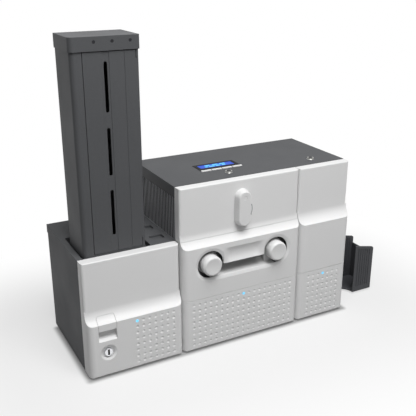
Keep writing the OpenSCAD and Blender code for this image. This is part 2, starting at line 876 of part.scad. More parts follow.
// A moulded cover's hinge bosses, one on each side of an ear
module ear_boss(x, side) {
    from = side > 0 ? x + ear_t + hinge_clear : x - hinge_clear - door_pin_len;
    along_x(from, from + door_pin_len) difference() {
        union() {
            translate([ear_y, ear_z]) circle(ear_eye_r);
            translate([ear_y - ear_eye_r, ear_z]) square([2 * ear_eye_r, printer_h - cover_t / 2 - ear_z]);
        }
        translate([ear_y, ear_z]) circle(ear_pin_r + slip);
    }
}

// What a cover's rear edges would strike as it swings up about the ears
module swing_trim(bottom) {
    x0 = chassis_x0 - over;
    x1 = machine_w + over;
    reach = ear_z - bottom;
    difference() {
        block([x0, ear_y, ear_z], [x1, cover_d + over, printer_h + over]);
        rod_x(ear_y, ear_z, cover_d - ear_y, x0 - over, x1 + over);
    }
    difference() {
        block([x0, ear_y, bottom - over], [x1, cover_d + over, bottom + over]);
        rod_x(ear_y, ear_z, reach, x0 - over, x1 + over);
    }
}

knob_stem_r = 6;
knob_bolt_len = 24;
knob_bolt_r = 6;
knob_bolt_t = 2.5;
knob_stand = 0.3;
oval_edge = 1.2;
oval_mark_r = 3.5;
oval_mark_d = 0.4;

module upper_door() {
    bottom = seam_high + shadow / 2;
    color(white) difference() {
        union() {
            moulded_front(printer_x, output_x, ledge_high, printer_h, bottom, printer_h);
            for (i = [0, 1], side = [-1, 1]) ear_boss(ear_places[i], side);
            rod_y(printer_mid, oval_z, knob_stem_r + 2 * cover_t, setback + cover_t / 2,
                    setback + 2 * cover_t);
        }
        swing_trim(bottom);
        rod_y(printer_mid, oval_z, knob_stem_r + slip, setback - over, cover_d);
    }
}

// A stadium that narrows from half width r1 at depth y1 to r0 at depth y0
module oval_step(y0, r0, y1, r1, half) {
    for (z = [-half, half]) translate([printer_mid, y1, oval_z + z])
        rotate([90, 0, 0]) cylinder(r1 = r1, r2 = r0, h = y1 - y0);
    along_z(oval_z - half, oval_z + half) translate([printer_mid, 0])
        polygon([[-r1, y1], [r1, y1], [r0, y0], [-r0, y0]]);
}

module turn_knob() {
    face_y = setback - oval_out;
    half = oval_len / 2 - oval_face_r;
    base_y = setback - knob_stand;
    rim_r = oval_face_r + oval_edge;
    bolt_y = cover_d - knob_bolt_t;
    color(white) {
        difference() {
            oval_step(face_y, oval_face_r, face_y + oval_edge, rim_r, half);
            rod_y(printer_mid, oval_z + half, oval_mark_r, face_y - over, face_y + oval_mark_d);
        }
        oval_step(face_y + oval_edge, rim_r, base_y, oval_r, half);
        rod_y(printer_mid, oval_z, knob_stem_r, base_y, bolt_y);
        along_y(bolt_y - knob_bolt_t, bolt_y)
            slot_shape(printer_mid, oval_z - knob_bolt_len, oval_z + knob_bolt_r, knob_bolt_r);
    }
}

module output_cover() {
    bottom = seam_low + shadow;
    color(white) difference() {
        union() {
            moulded_front(output_x, machine_w, ledge_high, printer_h, bottom, printer_h);
            for (i = [2, 3], side = [-1, 1]) ear_boss(ear_places[i], side);
        }
        swing_trim(bottom);
    }
}

module lower_panel(x0, x1, cols) {
    difference() {
        moulded_front(x0, x1, ledge_high, printer_h, foot_h, seam_low - shadow / 2);
        dimple_field((x0 + x1) / 2, cols, (cols - 1) / 2);
        light_hole((x0 + x1) / 2);
    }
}

module printer_lower_panel() {
    color(white) lower_panel(printer_x, output_x, printer_cols);
}

module output_lower_panel() {
    color(white) lower_panel(output_x, machine_w, dimple_cols);
}

module panel_lights() {
    color(lit) {
        light_lens(printer_mid);
        light_lens(output_mid);
    }
}

// Ribbon cassette

spool_x = [printer_mid - spool_pitch / 2, printer_mid + spool_pitch / 2];
grip_z = spool_z - grip_drop;
cavity_low = spool_z - well_r;
cavity_d = cover_d - 2 * cover_t;
cavity_x0 = spool_x[0] + well_r;
cavity_x1 = spool_x[1] - well_r;
deep_in = 8;
deep_x0 = cavity_x0 - deep_in;
deep_x1 = cavity_x1 + deep_in;
deep_low_r = 13;
deep_high_r = 3;
scoop_h = 26;
scoop_d = 3.2;
scoop_r = (scoop_h * scoop_h / 4 + scoop_d * scoop_d) / (2 * scoop_d);
flare_d = 1.6;
spool_shaft_r = 7;
spool_bore_r = spool_shaft_r + slip;
bay_y0 = well_d + cover_t;

module dog_bone(grow) {
    for (x = spool_x) translate([x, spool_z]) circle(well_r + grow);
    translate([spool_x[0], cavity_low - grow]) square([spool_pitch, grip_z - cavity_low + 2 * grow]);
}

module flare_cut() {
    for (x = spool_x) translate([x, 0, spool_z]) rotate([-90, 0, 0])
        cylinder(r1 = well_r + flare, r2 = well_r, h = flare_d);
    along_x(spool_x[0], spool_x[1]) polygon([
        [-over, cavity_low - flare], [0, cavity_low - flare], [flare_d, cavity_low], [flare_d, grip_z],
                [-over, grip_z]]);
}

// The front of the ribbon drawer: two wells for the knobs, a deep grip between them
// and a hollow scoop above the grip
module cassette_front() {
    from = seam_low + shadow / 2;
    to = seam_high - shadow / 2;
    color(white) difference() {
        union() {
            moulded_front(printer_x, output_x, ledge_high, printer_h, from, to);
            along_y(cover_t / 2, bay_y0) dog_bone(cover_t);
            block([deep_x0 - cover_t, cover_t / 2, cavity_low - cover_t],
                  [deep_x1 + cover_t, cavity_d + cover_t, grip_z + cover_t]);
            block([cavity_x0 - cover_t, cover_t / 2, grip_z],
                  [cavity_x1 + cover_t, scoop_d + cover_t, grip_z + scoop_h]);
        }
        along_y(-over, well_d) dog_bone(0);
        along_x(deep_x0, deep_x1)
            soft_rect([-over, cavity_low], [cavity_d, grip_z], [0, deep_low_r, deep_high_r, 0]);
        flare_cut();
        rod_x(scoop_d - scoop_r, grip_z + scoop_h / 2, scoop_r, cavity_x0, cavity_x1);
        for (x = spool_x) rod_y(x, spool_z, spool_bore_r, 0, cover_d + over);
    }
}

frame_end = tower_y1 - shadow;
frame_sheet = 2;
frame_rise = 8;
frame_lo = card_z + frame_rise;
frame_reach = 30;
frame_hi = spool_z + frame_reach;
bay_half = 28;
bar_w = 4;
bar_z = frame_lo - bar_w;

// Two open bays behind the front, one round each spool, with a bearing in each rear wall
// and a guide bar for the ribbon along each inner edge
module cassette_frame() {
    color(black) for (side = [0, 1]) {
        x = spool_x[side];
        outer = side == 0 ? x - bay_half : x + bay_half - frame_sheet;
        inner = side == 0 ? x + bay_half - bar_w : x - bay_half;
        front_x0 = side == 0 ? x - bay_half : deep_x1 + cover_t;
        front_x1 = side == 0 ? deep_x0 - cover_t : x + bay_half;
        block([outer, bay_y0, frame_lo], [outer + frame_sheet, frame_end, frame_hi]);
        difference() {
            union() {
                block([x - bay_half, frame_end - frame_sheet, frame_lo], [x + bay_half, frame_end,
                        frame_hi]);
                block([front_x0, bay_y0, frame_lo], [front_x1, bay_y0 + frame_sheet, frame_hi]);
            }
            rod_y(x, spool_z, spool_bore_r, bay_y0 - over, frame_end + over);
        }
        block([x - bay_half, cavity_d + 2 * cover_t, frame_hi - frame_sheet],
              [x + bay_half, frame_end, frame_hi]);
        block([front_x0, bay_y0, frame_hi - frame_sheet], [front_x1, frame_end, frame_hi]);
        block([inner, cavity_d + 2 * cover_t, bar_z], [inner + bar_w, frame_end, frame_lo]);
        block([inner, frame_end - frame_sheet, bar_z], [inner + bar_w, frame_end, frame_lo + over]);
    }
}

film_t = 0.4;
film_in = 4;
film_fold_r = 0.35;
film_y0 = cover_d + film_in;
film_y1 = frame_end - film_in;

// A straight stretch of ribbon from a guide bar's lower edge up to the side of a roll
module film_rise(side, r) {
    out = bay_half - bar_w;
    drop = spool_z - bar_z + film_t;
    span = sqrt(out * out + drop * drop);
    lean = atan2(drop, out) + asin(r / span);
    translate([spool_x[side], bar_z - film_t]) mirror([side, 0]) translate([out, 0]) {
        circle(film_fold_r);
        rotate(180 - lean) square([sqrt(span * span - r * r), film_t]);
    }
}

// The ribbon's free stretch runs under both guide bars and below the print head
module ribbon_film() {
    reach = bay_half - bar_w - film_t;
    color(ribbon_black) along_y(film_y0, film_y1) {
        translate([spool_x[0] + reach, bar_z - film_t]) square([spool_pitch - 2 * reach, film_t]);
        film_rise(0, supply_r + fit + film_t);
        film_rise(1, takeup_r + fit + film_t);
    }
}

knob_edge = 3;
knob_in = 9;
knob_soft = 0.6;
core_r = 8;

module round_knob(x) {
    tall = knob_in + knob_out;
    translate([x, knob_in, spool_z]) rotate([90, 0, 0]) rotate_extrude() polygon([
        [0, 0], [knob_r, 0], [knob_r, tall - knob_edge - knob_soft], [knob_r - knob_soft,
                tall - knob_edge + knob_soft],
        [knob_face_r + knob_soft, tall - knob_soft / 2], [knob_face_r - knob_soft, tall], [0, tall]]);
}

module spool(side) {
    x = spool_x[side];
    color(white) round_knob(x);
    color(black) {
        rod_y(x, spool_z, spool_shaft_r, knob_in, frame_end + frame_sheet);
        rod_y(x, spool_z, core_r, cover_d + frame_sheet, film_y1);
    }
}

module roll(side, r) {
    color(ribbon_black) difference() {
        rod_y(spool_x[side], spool_z, r, film_y0, film_y1 - frame_sheet);
        rod_y(spool_x[side], spool_z, core_r, film_y0 - over, film_y1 + over);
    }
}

module supply_spool() {
    spool(0);
}

module supply_roll() {
    roll(0, supply_r);
}

module takeup_spool() {
    spool(1);
}

module takeup_roll() {
    roll(1, takeup_r);
}

// Print head and card drive

head_w = 14;
head_gap = 0.5;
head_z0 = bar_z + head_gap;
head_y0 = film_y0 + film_in;
head_y1 = film_y1;
head_boss_r = 6;
fin_count = 7;
fin_pitch = 7;
fin_slot = 4;
fin_deep = 4.5;

// A finned block on an arm that swings up off the ribbon
module print_head() {
    arm_z = head_pin_z - head_boss_r;
    x0 = platen_x - head_w / 2;
    color(steel) difference() {
        union() {
            block([x0, head_y0, head_z0], [x0 + head_w, head_y1, arm_z + 2 * head_boss_r]);
            block([platen_x, head_y0, arm_z], [head_pin_x, head_y1, arm_z + 2 * head_boss_r]);
            rod_y(head_pin_x, head_pin_z, head_boss_r, head_y0, head_y1);
        }
        rod_y(head_pin_x, head_pin_z, head_pin_r + slip, head_y0 - over, head_y1 + over);
        for (i = [1:fin_count]) block([x0 - over, head_y0 - over, arm_z - i * fin_pitch],
                                      [x0 + fin_deep, head_y1 + over, arm_z - i * fin_pitch + fin_slot]);
    }
}

pulley_r = 7;
pulley_w = 5;
pulley_gap = 3;
belt_y0 = rear_frame_y + rail_t + pulley_gap;
belt_y1 = belt_y0 + pulley_w;

module drive_shaft(x, z, r, bore) {
    color(rubber) rod_y(x, z, r, front_frame_y + rail_t + fit, rear_frame_y - fit);
    color(steel) rod_y(x, z, bore, front_frame_y - fit, belt_y1);
    color(steel) rod_y(x, z, pulley_r, belt_y0, belt_y1);
}

module platen_roller() {
    drive_shaft(platen_x, platen_z, platen_r, shaft_r);
}

module entry_roller() {
    drive_shaft(entry_x, platen_z, entry_r, shaft_r);
}

motor_off = 42;
motor_x = printer_mid - motor_off;
motor_r = 21;
motor_z = deck_z + 2 * motor_r;
motor_len = 40;
motor_shaft_r = 2.5;
motor_y0 = belt_y1 + pulley_gap;

module drive_motor() {
    color(steel) {
        rod_y(motor_x, motor_z, motor_r, motor_y0, motor_y0 + motor_len);
        block([motor_x - motor_r, rear_frame_y + rail_t, deck_z], [motor_x + motor_r, motor_y0,
                deck_z + sheet]);
        block([motor_x - motor_r, motor_y0 - sheet, deck_z], [motor_x + motor_r, motor_y0,
                motor_z - pulley_r]);
    }
}

module motor_pulley() {
    color(steel) rod_y(motor_x, motor_z, pulley_r, belt_y0, belt_y1);
    color(steel) rod_y(motor_x, motor_z, motor_shaft_r, rear_frame_y + rail_t + fit, motor_y0 - fit);
}

belt_t = 1.2;

module belt_outline(r) {
    hull() {
        translate([motor_x, motor_z]) circle(r);
        translate([platen_x, platen_z]) circle(r);
        translate([entry_x, platen_z]) circle(r);
    }
}

module drive_belt() {
    color(black) along_y(belt_y0, belt_y1) difference() {
        belt_outline(pulley_r + fit + belt_t);
        belt_outline(pulley_r + fit);
    }
}

post_h = 38;
post_r = 3;
board_z = deck_z + post_h;
board_t = 1.6;
board_over = 10;
board_x0 = printer_mid - board_over;
board_x1 = output_mid + board_over;
board_y0 = rear_frame_y + rail_t + pulley_gap;
board_y1 = body_d - sheet - pulley_gap;
chip = 14;
chip_h = 2;

module circuit_board() {
    color(board_green) block([board_x0, board_y0, board_z], [board_x1, board_y1, board_z + board_t]);
    color(steel) for (x = [board_x0 + 2 * post_r, board_x1 - 2 * post_r], y = [board_y0 + 2 * post_r,
            board_y1 - 2 * post_r])
        rod_z(x, y, post_r, deck_z, board_z);
    color(black) for (i = [1:4])
        block([board_x0 + i * 2 * chip, board_y0 + chip, board_z + board_t],
              [board_x0 + i * 2 * chip + chip, board_y0 + 2 * chip, board_z + board_t + chip_h]);
}

supply_w = 36;
supply_len = 46;
supply_h = 40;
supply_gap = 4;

module power_supply() {
    x0 = chassis_x0 + supply_gap;
    y0 = rear_frame_y + rail_t + supply_gap;
    color(steel) block([x0, y0, deck_z], [x0 + supply_w, y0 + supply_len, deck_z + supply_h]);
}

inlet_in = 34;
inlet_x = printer_x + inlet_in;
inlet_w = 27;
inlet_h = 20;
inlet_rise = 24;
inlet_z = deck_z + inlet_rise;
inlet_d = 20;
inlet_wall = 2;
inlet_pin_w = 4;
inlet_pin_t = 2;
inlet_pin_len = 9;
inlet_pin_pitch = 7;
port_over = 10;
port_x = printer_mid + port_over;
port_z = board_z + board_t;
usb_w = 12;
usb_h = 11;
net_w = 16;
net_h = 13.5;
port_d = 16;
port_wall = 1;
port_pitch = 30;

module inlet_outline(shrink) {
    soft_rect([inlet_x - inlet_w / 2 + shrink, inlet_z - inlet_h / 2 + shrink],
              [inlet_x + inlet_w / 2 - shrink, inlet_z + inlet_h / 2 - shrink], [0, 0, edge_r, edge_r]);
}

module power_inlet() {
    color(black) difference() {
        union() {
            along_y(body_d - inlet_d, body_d) inlet_outline(0);
            along_y(body_d, body_d + sheet) inlet_outline(-inlet_wall);
        }
        along_y(body_d - inlet_d + inlet_wall, body_d + sheet + over) inlet_outline(inlet_wall);
    }
    color(steel) for (i = [-1:1]) {
        pin_x = inlet_x + i * inlet_pin_pitch;
        pin_y = body_d - inlet_d + inlet_wall;
        pin_z = inlet_z + (i == 0 ? inlet_pin_t : -inlet_pin_t);
        block([pin_x - inlet_pin_t / 2, pin_y - fit, pin_z - inlet_pin_w / 2],
              [pin_x + inlet_pin_t / 2, pin_y + inlet_pin_len, pin_z + inlet_pin_w / 2]);
    }
}

switch_gap = 34;
switch_x = inlet_x + switch_gap;
switch_w = 12;
switch_h = 19;
switch_d = 8;
switch_tilt = 8;

// A rocker that lies tilted, with its upper half pressed in
module power_switch() {
    color(black) translate([switch_x, body_d - sheet, inlet_z]) rotate([switch_tilt, 0, 0])
        along_x(-switch_w / 2, switch_w / 2) intersection() {
            translate([-switch_d, -switch_h / 2]) square([switch_d + 2 * sheet, switch_h]);
            translate([-switch_h, 0]) circle(switch_h + 2 * sheet);
        }
}

module port_tube(x, w, h) {
    difference() {
        block([x - w / 2, body_d - port_d, port_z], [x + w / 2, body_d, port_z + h]);
        block([x - w / 2 + port_wall, body_d - port_d + port_wall, port_z + port_wall],
              [x + w / 2 - port_wall, body_d + over, port_z + h - port_wall]);
    }
}

module data_ports() {
    color(steel) {
        port_tube(port_x, usb_w, usb_h);
        port_tube(port_x + port_pitch, net_w, net_h);
    }
}

fan_size = 40;
fan_t = 15;
fan_in = 30;
fan_rise = 62;
fan_x = output_x + fan_in;
fan_z = board_z + fan_rise;
fan_bore_r = 18.5;
fan_blade_r = 18;
fan_hub_r = 7;
fan_pin_r = 1.5;
fan_blades = 7;
fan_pitch_angle = 35;
fan_y1 = body_d - sheet - slip;

module fan_frame() {
    color(black) difference() {
        union() {
            difference() {
                block([fan_x - fan_size / 2, fan_y1 - fan_t, fan_z - fan_size / 2],
                      [fan_x + fan_size / 2, fan_y1, fan_z + fan_size / 2]);
                rod_y(fan_x, fan_z, fan_bore_r, fan_y1 - fan_t - over, fan_y1 + over);
            }
            rod_y(fan_x, fan_z, fan_hub_r, fan_y1 - fan_t, fan_y1 - fan_t + sheet);
            for (a = [0:120:240]) translate([fan_x, 0, fan_z]) rotate([0, a, 0])
                block([-sheet, fan_y1 - fan_t, 0], [sheet, fan_y1 - fan_t + sheet, fan_bore_r + sheet]);
        }
        rod_y(fan_x, fan_z, fan_pin_r + slip, fan_y1 - fan_t - over, fan_y1);
    }
}

module fan_rotor() {
    rotor_y0 = fan_y1 - fan_t + sheet + fit;
    rotor_y1 = fan_y1 - sheet;
    color(deep) {
        rod_y(fan_x, fan_z, fan_hub_r, rotor_y0, rotor_y1);
        rod_y(fan_x, fan_z, fan_pin_r, fan_y1 - fan_t, rotor_y0 + fit);
        for (i = [0:fan_blades - 1]) translate([fan_x, (rotor_y0 + rotor_y1) / 2, fan_z]) rotate([0,
                i * 360 / fan_blades, 0])
            translate([0, 0, fan_hub_r - fit]) rotate([0, 0, fan_pitch_angle])
                block([-sheet / 2, -fan_t / 4, 0], [sheet / 2, fan_t / 4, fan_blade_r - fan_hub_r - fit]);
    }
}

switch_fit = 0.6;
grid_r = 1.8;
grid_pitch = 5.2;
grid_rings = 3;
panel_top = printer_h - top_lip - shadow;

module rear_panel() {
    y0 = body_d - 2 * sheet;
    y1 = body_d + over;
    color(dark) difference() {
        block([printer_x + half_seam, body_d - sheet, foot_h], [machine_w, body_d, panel_top]);
        along_y(y0, y1) inlet_outline(-slip);
        block([switch_x - switch_w / 2 - switch_fit, y0, inlet_z - switch_h / 2 - switch_fit],
              [switch_x + switch_w / 2 + switch_fit, y1, inlet_z + switch_h / 2 + switch_fit]);
        block([port_x - usb_w / 2 - slip, y0, port_z - slip], [port_x + usb_w / 2 + slip, y1,
                port_z + usb_h + slip]);
        block([port_x + port_pitch - net_w / 2 - slip, y0, port_z - slip],
              [port_x + port_pitch + net_w / 2 + slip, y1, port_z + net_h + slip]);
        for (i = [-grid_rings:grid_rings], j = [-grid_rings:grid_rings])
            if (i * i + j * j <= grid_rings * grid_rings + 1)
                rod_y(fan_x + i * grid_pitch, fan_z + j * grid_pitch, grid_r, y0, y1);
    }
}

// Outer skins of the printer body

grille_in = 2.5;
grille_x = printer_x + grille_in;
grille_z0 = hopper_h + fit;

module side_grille() {
    y0 = body_y;
    y1 = body_d - sheet - fit;
    count = floor((y1 - y0 - grille_rib) / grille_pitch);
    color(black) {
        block([grille_x, y0, grille_z0], [grille_x + sheet, y1, panel_top + top_lip / 2]);
        for (i = [0:count]) block([grille_x - sheet, y0 + i * grille_pitch, grille_z0],
                                  [grille_x + fit, y0 + i * grille_pitch + grille_rib, panel_top]);
    }
}

hook_w = 8;
hook_t = 3;
hook_drop = 8;
hook_gap = 0.3;
hook_rise = 54;
hook_z = foot_h + hook_rise;
hook_y = [bin_y + bin_d - 3 * hook_w, bin_y + bin_d - hook_w - bin_t];
exit_low = 3;
exit_high = 6;

module output_side_panel() {
    x0 = machine_w - 2 * sheet;
    x1 = machine_w + over;
    color(dark) difference() {
        block([machine_w - sheet, body_y, foot_h], [machine_w, body_d - sheet - slip, panel_top]);
        block([x0, card_y0, card_z - exit_low], [x1, card_y1, card_z + exit_high]);
        for (y = hook_y) block([x0, y - fit, hook_z - hook_gap], [x1, y + hook_w + fit,
                hook_z + hook_t + bin_lift + fit]);
    }
}

bezel_x0 = printer_mid - bezel_w / 2;
bezel_t = 1.2;
bezel_up = 0.5;
screen_in_x = 6.2;
screen_in_y = 4.8;
screen_d = 16;
key_gap = 1.4;
key_row_gap = 0.6;
key_y1 = bezel_y - bezel_d - key_row_gap;
key_y0 = key_y1 - key_d;
key_w = (bezel_w - 3 * key_gap) / 4;
key_fit = 0.3;
key_stem_r = 1.8;
key_under = 1;
ring_t = 1;

module key_outline(i, grow) {
    x = bezel_x0 + i * (key_w + key_gap);
    soft_rect([x - grow, key_y0 - grow], [x + key_w + grow, key_y1 + grow], [edge_r / 2, edge_r / 2,
            edge_r / 2, edge_r / 2]);
}

module top_cover() {
    lip_z = printer_h - top_lip;
    x0 = printer_x + half_seam;
    color(dark) difference() {
        block([x0, body_y, lip_z], [machine_w, body_d, printer_h]);
        block([x0 + sheet, body_y - over, lip_z - over], [machine_w - sheet, body_d - sheet,
                printer_h - sheet]);
        along_z(printer_h - 2 * sheet, printer_h + over) {
            translate([bezel_x0 + sheet, bezel_y - bezel_d + sheet]) square([bezel_w - 2 * sheet,
                    bezel_d - 2 * sheet]);
            for (i = [0:3]) key_outline(i, key_fit);
            for (x = [printer_mid, output_mid]) translate([x, button_y]) circle(ring_r - ring_t);
        }
    }
}

ring_h = 2.6;
ring_flange = 0.8;
ring_slope = 0.8;

module button_rings() {
    color(chrome) for (x = [printer_mid, output_mid]) translate([x, button_y, printer_h]) difference() {
        union() {
            cylinder(r1 = ring_r + ring_flange, r2 = ring_r, h = ring_slope);
            cylinder(r = ring_r, h = ring_h);
        }
        translate([0, 0, -over]) cylinder(r = button_r + key_fit, h = ring_h + 2 * over);
    }
}

button_up = 3.4;
button_soft = 0.4;

module round_button(x) {
    color(black) {
        rod_z(x, button_y, button_r, printer_h - sheet - key_under - button_travel,
                printer_h + button_up - button_soft);
        translate([x, button_y, printer_h + button_up - button_soft])
            cylinder(r1 = button_r, r2 = button_r - button_soft, h = button_soft);
    }
}

module printer_button() {
    round_button(printer_mid);
}

module output_button() {
    round_button(output_mid);
}

module display_bezel() {
    color(black) difference() {
        union() {
            along_z(printer_h, printer_h + bezel_up) soft_rect([bezel_x0, bezel_y - bezel_d],
                    [bezel_x0 + bezel_w, bezel_y],
                [edge_r / 2, edge_r / 2, edge_r / 2, edge_r / 2]);
            block([bezel_x0 + sheet + slip, bezel_y - bezel_d + sheet + slip, printer_h - sheet - bezel_t],
                  [bezel_x0 + bezel_w - sheet - slip, bezel_y - sheet - slip, printer_h]);
        }
        block([bezel_x0 + screen_in_x, bezel_y - screen_in_y - screen_d, printer_h - fit],
              [bezel_x0 + bezel_w - screen_in_x, bezel_y - screen_in_y, printer_h + over]);
    }
}

module display_screen() {
    color(screen_blue) block([bezel_x0 + screen_in_x + slip, bezel_y - screen_in_y - screen_d + slip,
            printer_h - fit],
                             [bezel_x0 + bezel_w - screen_in_x - slip, bezel_y - screen_in_y - slip,
                                     printer_h + fit]);
}

module menu_key(i) {
    x = bezel_x0 + i * (key_w + key_gap) + key_w / 2;
    y = (key_y0 + key_y1) / 2;
    color(white) {
        along_z(printer_h - sheet - key_under, printer_h + key_h) key_outline(i, 0);
        rod_z(x, y, key_stem_r, printer_h - sheet - 2 * key_under, printer_h);
    }
}

module menu_key_1() {
    menu_key(0);
}

module menu_key_2() {
    menu_key(1);
}

module menu_key_3() {
    menu_key(2);
}

module menu_key_4() {
    menu_key(3);
}

// Output side

flip_gap = 1.6;
flip_wall = 1.2;
flip_half = 13;

// A drum that takes a card in its slot and turns it over
module flipper_drum() {
    y0 = card_y0 - flip_wall;
    y1 = card_y1 + flip_wall;
    color(black) difference() {
        union() {
            intersection() {
                rod_y(flip_x, card_z, flip_r, y0, y1);
                block([flip_x - flip_r, y0, card_z - flip_half], [flip_x + flip_r, y1, card_z + flip_half]);
            }
            rod_y(flip_x, card_z, flip_hub_r, front_frame_y - fit, y0 + flip_wall);
            rod_y(flip_x, card_z, flip_hub_r, y1 - flip_wall, rear_frame_y + rail_t + fit);
        }
        block([flip_x - flip_r - over, card_y0, card_z - flip_gap], [flip_x + flip_r + over, card_y1,
                card_z + flip_gap]);
    }
}

tray_x0 = machine_w + fit;
tray_x1 = tray_x0 + bin_w;
tray_y1 = bin_y + bin_d;
tray_z0 = foot_h;
tray_r = 5;
tray_rib = 1.6;
tray_rib_pitch = 5.2;
tray_rib_d = 0.8;
tray_frame = 5;
notch_r = 26;
hanger_z = bin_side_h;

module tray_floor_plan() {
    difference() {
        soft_rect([tray_x0, bin_y], [tray_x1, tray_y1], [0, edge_r, edge_r, 0]);
        translate([tray_x0 - over, bin_y - over]) square([notch_w - notch_r + over, notch_r + over]);
        translate([tray_x0 + notch_w - notch_r, bin_y]) circle(notch_r, $fn = 64);
    }
}

// A hook that reaches through the side panel and drops behind it
module tray_hook(y) {
    back_x = machine_w - sheet - hook_gap;
    block([back_x - hook_t, y, hook_z], [tray_x0 + bin_t / 2, y + hook_w, hook_z + hook_t]);
    block([back_x - hook_t, y, hook_z + hook_t - hook_drop], [back_x, y + hook_w, hook_z + hook_t]);
}

// A wall's outline from x0 to the tray's right end, its top rising towards the machine
module tray_wall(x0, inset) {
    slope = bin_rise / (bin_w - notch_w);
    x1 = tray_x1 - inset;
    difference() {
        polygon([[x0 + inset, tray_z0 + 2 * inset], [x1, tray_z0 + 2 * inset], [x1,
                bin_h - inset + inset * slope],
                 [x0 + inset, bin_h - inset + (tray_x1 - x0 - inset) * slope]]);
        if (inset == 0) corner_bite([tray_x1, bin_h + tray_r * slope], tray_r, 180);
    }
}

// Grooves between the ribs of a wall, as wide as the ribs leave them
module tray_grooves(x0) {
    count = floor((tray_x1 - x0 - 2 * tray_frame) / tray_rib_pitch);
    intersection() {
        tray_wall(x0, tray_frame);
        for (i = [0:count - 1]) translate([x0 + tray_frame + i * tray_rib_pitch, tray_z0])
            square([tray_rib_pitch - tray_rib, 2 * bin_h]);
    }
}

module output_tray() {
    front_x = tray_x0 + notch_w;
    color(deep) {
        along_z(tray_z0, tray_z0 + bin_t) tray_floor_plan();
        difference() {
            along_y(bin_y, bin_y + bin_t) tray_wall(front_x, 0);
            along_y(bin_y - over, bin_y + tray_rib_d) tray_grooves(front_x);
        }
        difference() {
            along_y(tray_y1 - bin_t, tray_y1) tray_wall(tray_x0, 0);
            along_y(tray_y1 - bin_t - over, tray_y1 - bin_t + tray_rib_d) tray_grooves(tray_x0);
        }
        block([tray_x1 - bin_t, bin_y, tray_z0], [tray_x1, tray_y1, bin_side_h]);
        block([tray_x0, bin_y + notch_r + bin_t, tray_z0], [tray_x0 + bin_t, tray_y1, hanger_z]);
        for (y = hook_y) tray_hook(y);
    }
}

feet_in = 16;

module rubber_feet() {
    front_y = body_y + feet_in / 2;
    color(rubber) {
        for (x = [feet_in, hopper_w - feet_in], y = [front_y, hopper_d - feet_in]) rod_z(x, y, foot_r, 0,
                foot_h);
        for (x = [printer_x + feet_in, machine_w - feet_in], y = [front_y, body_d - feet_in]) rod_z(x, y,
                foot_r, 0, foot_h);
    }
}

place() hopper_case();
place() hopper_top();
place() hopper_cover();
place() hopper_hinge_pins();
place() hopper_light();
place() latch_button();
place() lock_barrel();
place() tower_shell();
place() tower_door();
place() tower_hinge_pin();
place() tower_cap();
place() cap_screws();
place() card_weight();
place() pick_frame();
place() pick_roller();
place() pick_motor();
place() printer_chassis();
place() top_cover();
place() side_grille();
place() rear_panel();
place() output_side_panel();
place() power_inlet();
place() power_switch();
place() data_ports();
place() printer_lower_panel();
place() output_lower_panel();
place() panel_lights();
place() upper_door();
place() cover_hinge_pins();
place() turn_knob();
place() cassette_front();
place() cassette_frame();
place() ribbon_film();
place() supply_spool();
place() supply_roll();
place() takeup_spool();
place() takeup_roll();
place() print_head();
place() platen_roller();
place() entry_roller();
place() drive_motor();
place() motor_pulley();
place() drive_belt();
place() circuit_board();
place() power_supply();
place() fan_frame();
place() fan_rotor();
place() display_bezel();
place() display_screen();
place() menu_key_1();
place() menu_key_2();
place() menu_key_3();
place() menu_key_4();
place() button_rings();
place() printer_button();
place() output_button();
place() output_cover();
place() flipper_drum();
place() output_tray();
place() rubber_feet();
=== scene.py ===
# %% [markdown]
# A card printer in three modules: an input hopper with a tall card tower on the left, the
# printer in the middle and an output module on the right. The CAD model gives the shapes and
# the joints. This notebook gives them a camera, light, finishes and the fine detail that only
# shows up close.

# %% Load the frame
import json
import math

import bmesh
import bpy
from mathutils import Matrix, Vector

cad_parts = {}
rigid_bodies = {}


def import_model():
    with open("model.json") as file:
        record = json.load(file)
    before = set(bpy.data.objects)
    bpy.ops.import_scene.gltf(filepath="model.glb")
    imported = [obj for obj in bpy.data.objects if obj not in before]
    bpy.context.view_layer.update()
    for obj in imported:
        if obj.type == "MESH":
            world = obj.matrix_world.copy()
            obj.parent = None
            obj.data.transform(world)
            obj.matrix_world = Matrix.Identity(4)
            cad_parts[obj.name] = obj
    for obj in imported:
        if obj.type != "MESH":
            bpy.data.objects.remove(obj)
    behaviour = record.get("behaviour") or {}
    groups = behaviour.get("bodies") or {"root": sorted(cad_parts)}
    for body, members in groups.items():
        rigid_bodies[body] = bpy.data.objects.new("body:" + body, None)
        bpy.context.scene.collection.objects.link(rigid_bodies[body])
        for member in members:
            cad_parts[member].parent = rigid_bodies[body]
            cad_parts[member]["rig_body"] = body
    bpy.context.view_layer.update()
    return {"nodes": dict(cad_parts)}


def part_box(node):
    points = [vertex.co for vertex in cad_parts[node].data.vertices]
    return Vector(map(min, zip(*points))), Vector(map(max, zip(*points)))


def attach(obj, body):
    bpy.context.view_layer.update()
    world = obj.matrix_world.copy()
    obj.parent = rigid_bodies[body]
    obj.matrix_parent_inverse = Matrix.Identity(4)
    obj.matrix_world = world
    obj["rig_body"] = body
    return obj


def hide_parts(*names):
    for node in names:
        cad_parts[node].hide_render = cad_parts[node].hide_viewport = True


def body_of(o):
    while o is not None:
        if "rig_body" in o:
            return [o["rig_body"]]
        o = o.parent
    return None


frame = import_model()

# %% [markdown]
# The camera stands where the photographer stood: left of the middle, a little above the
# machine, about a metre away. The place and the focal length come from lining up the corners
# of the model with the corners in the picture, so nothing has to be nudged by eye later.

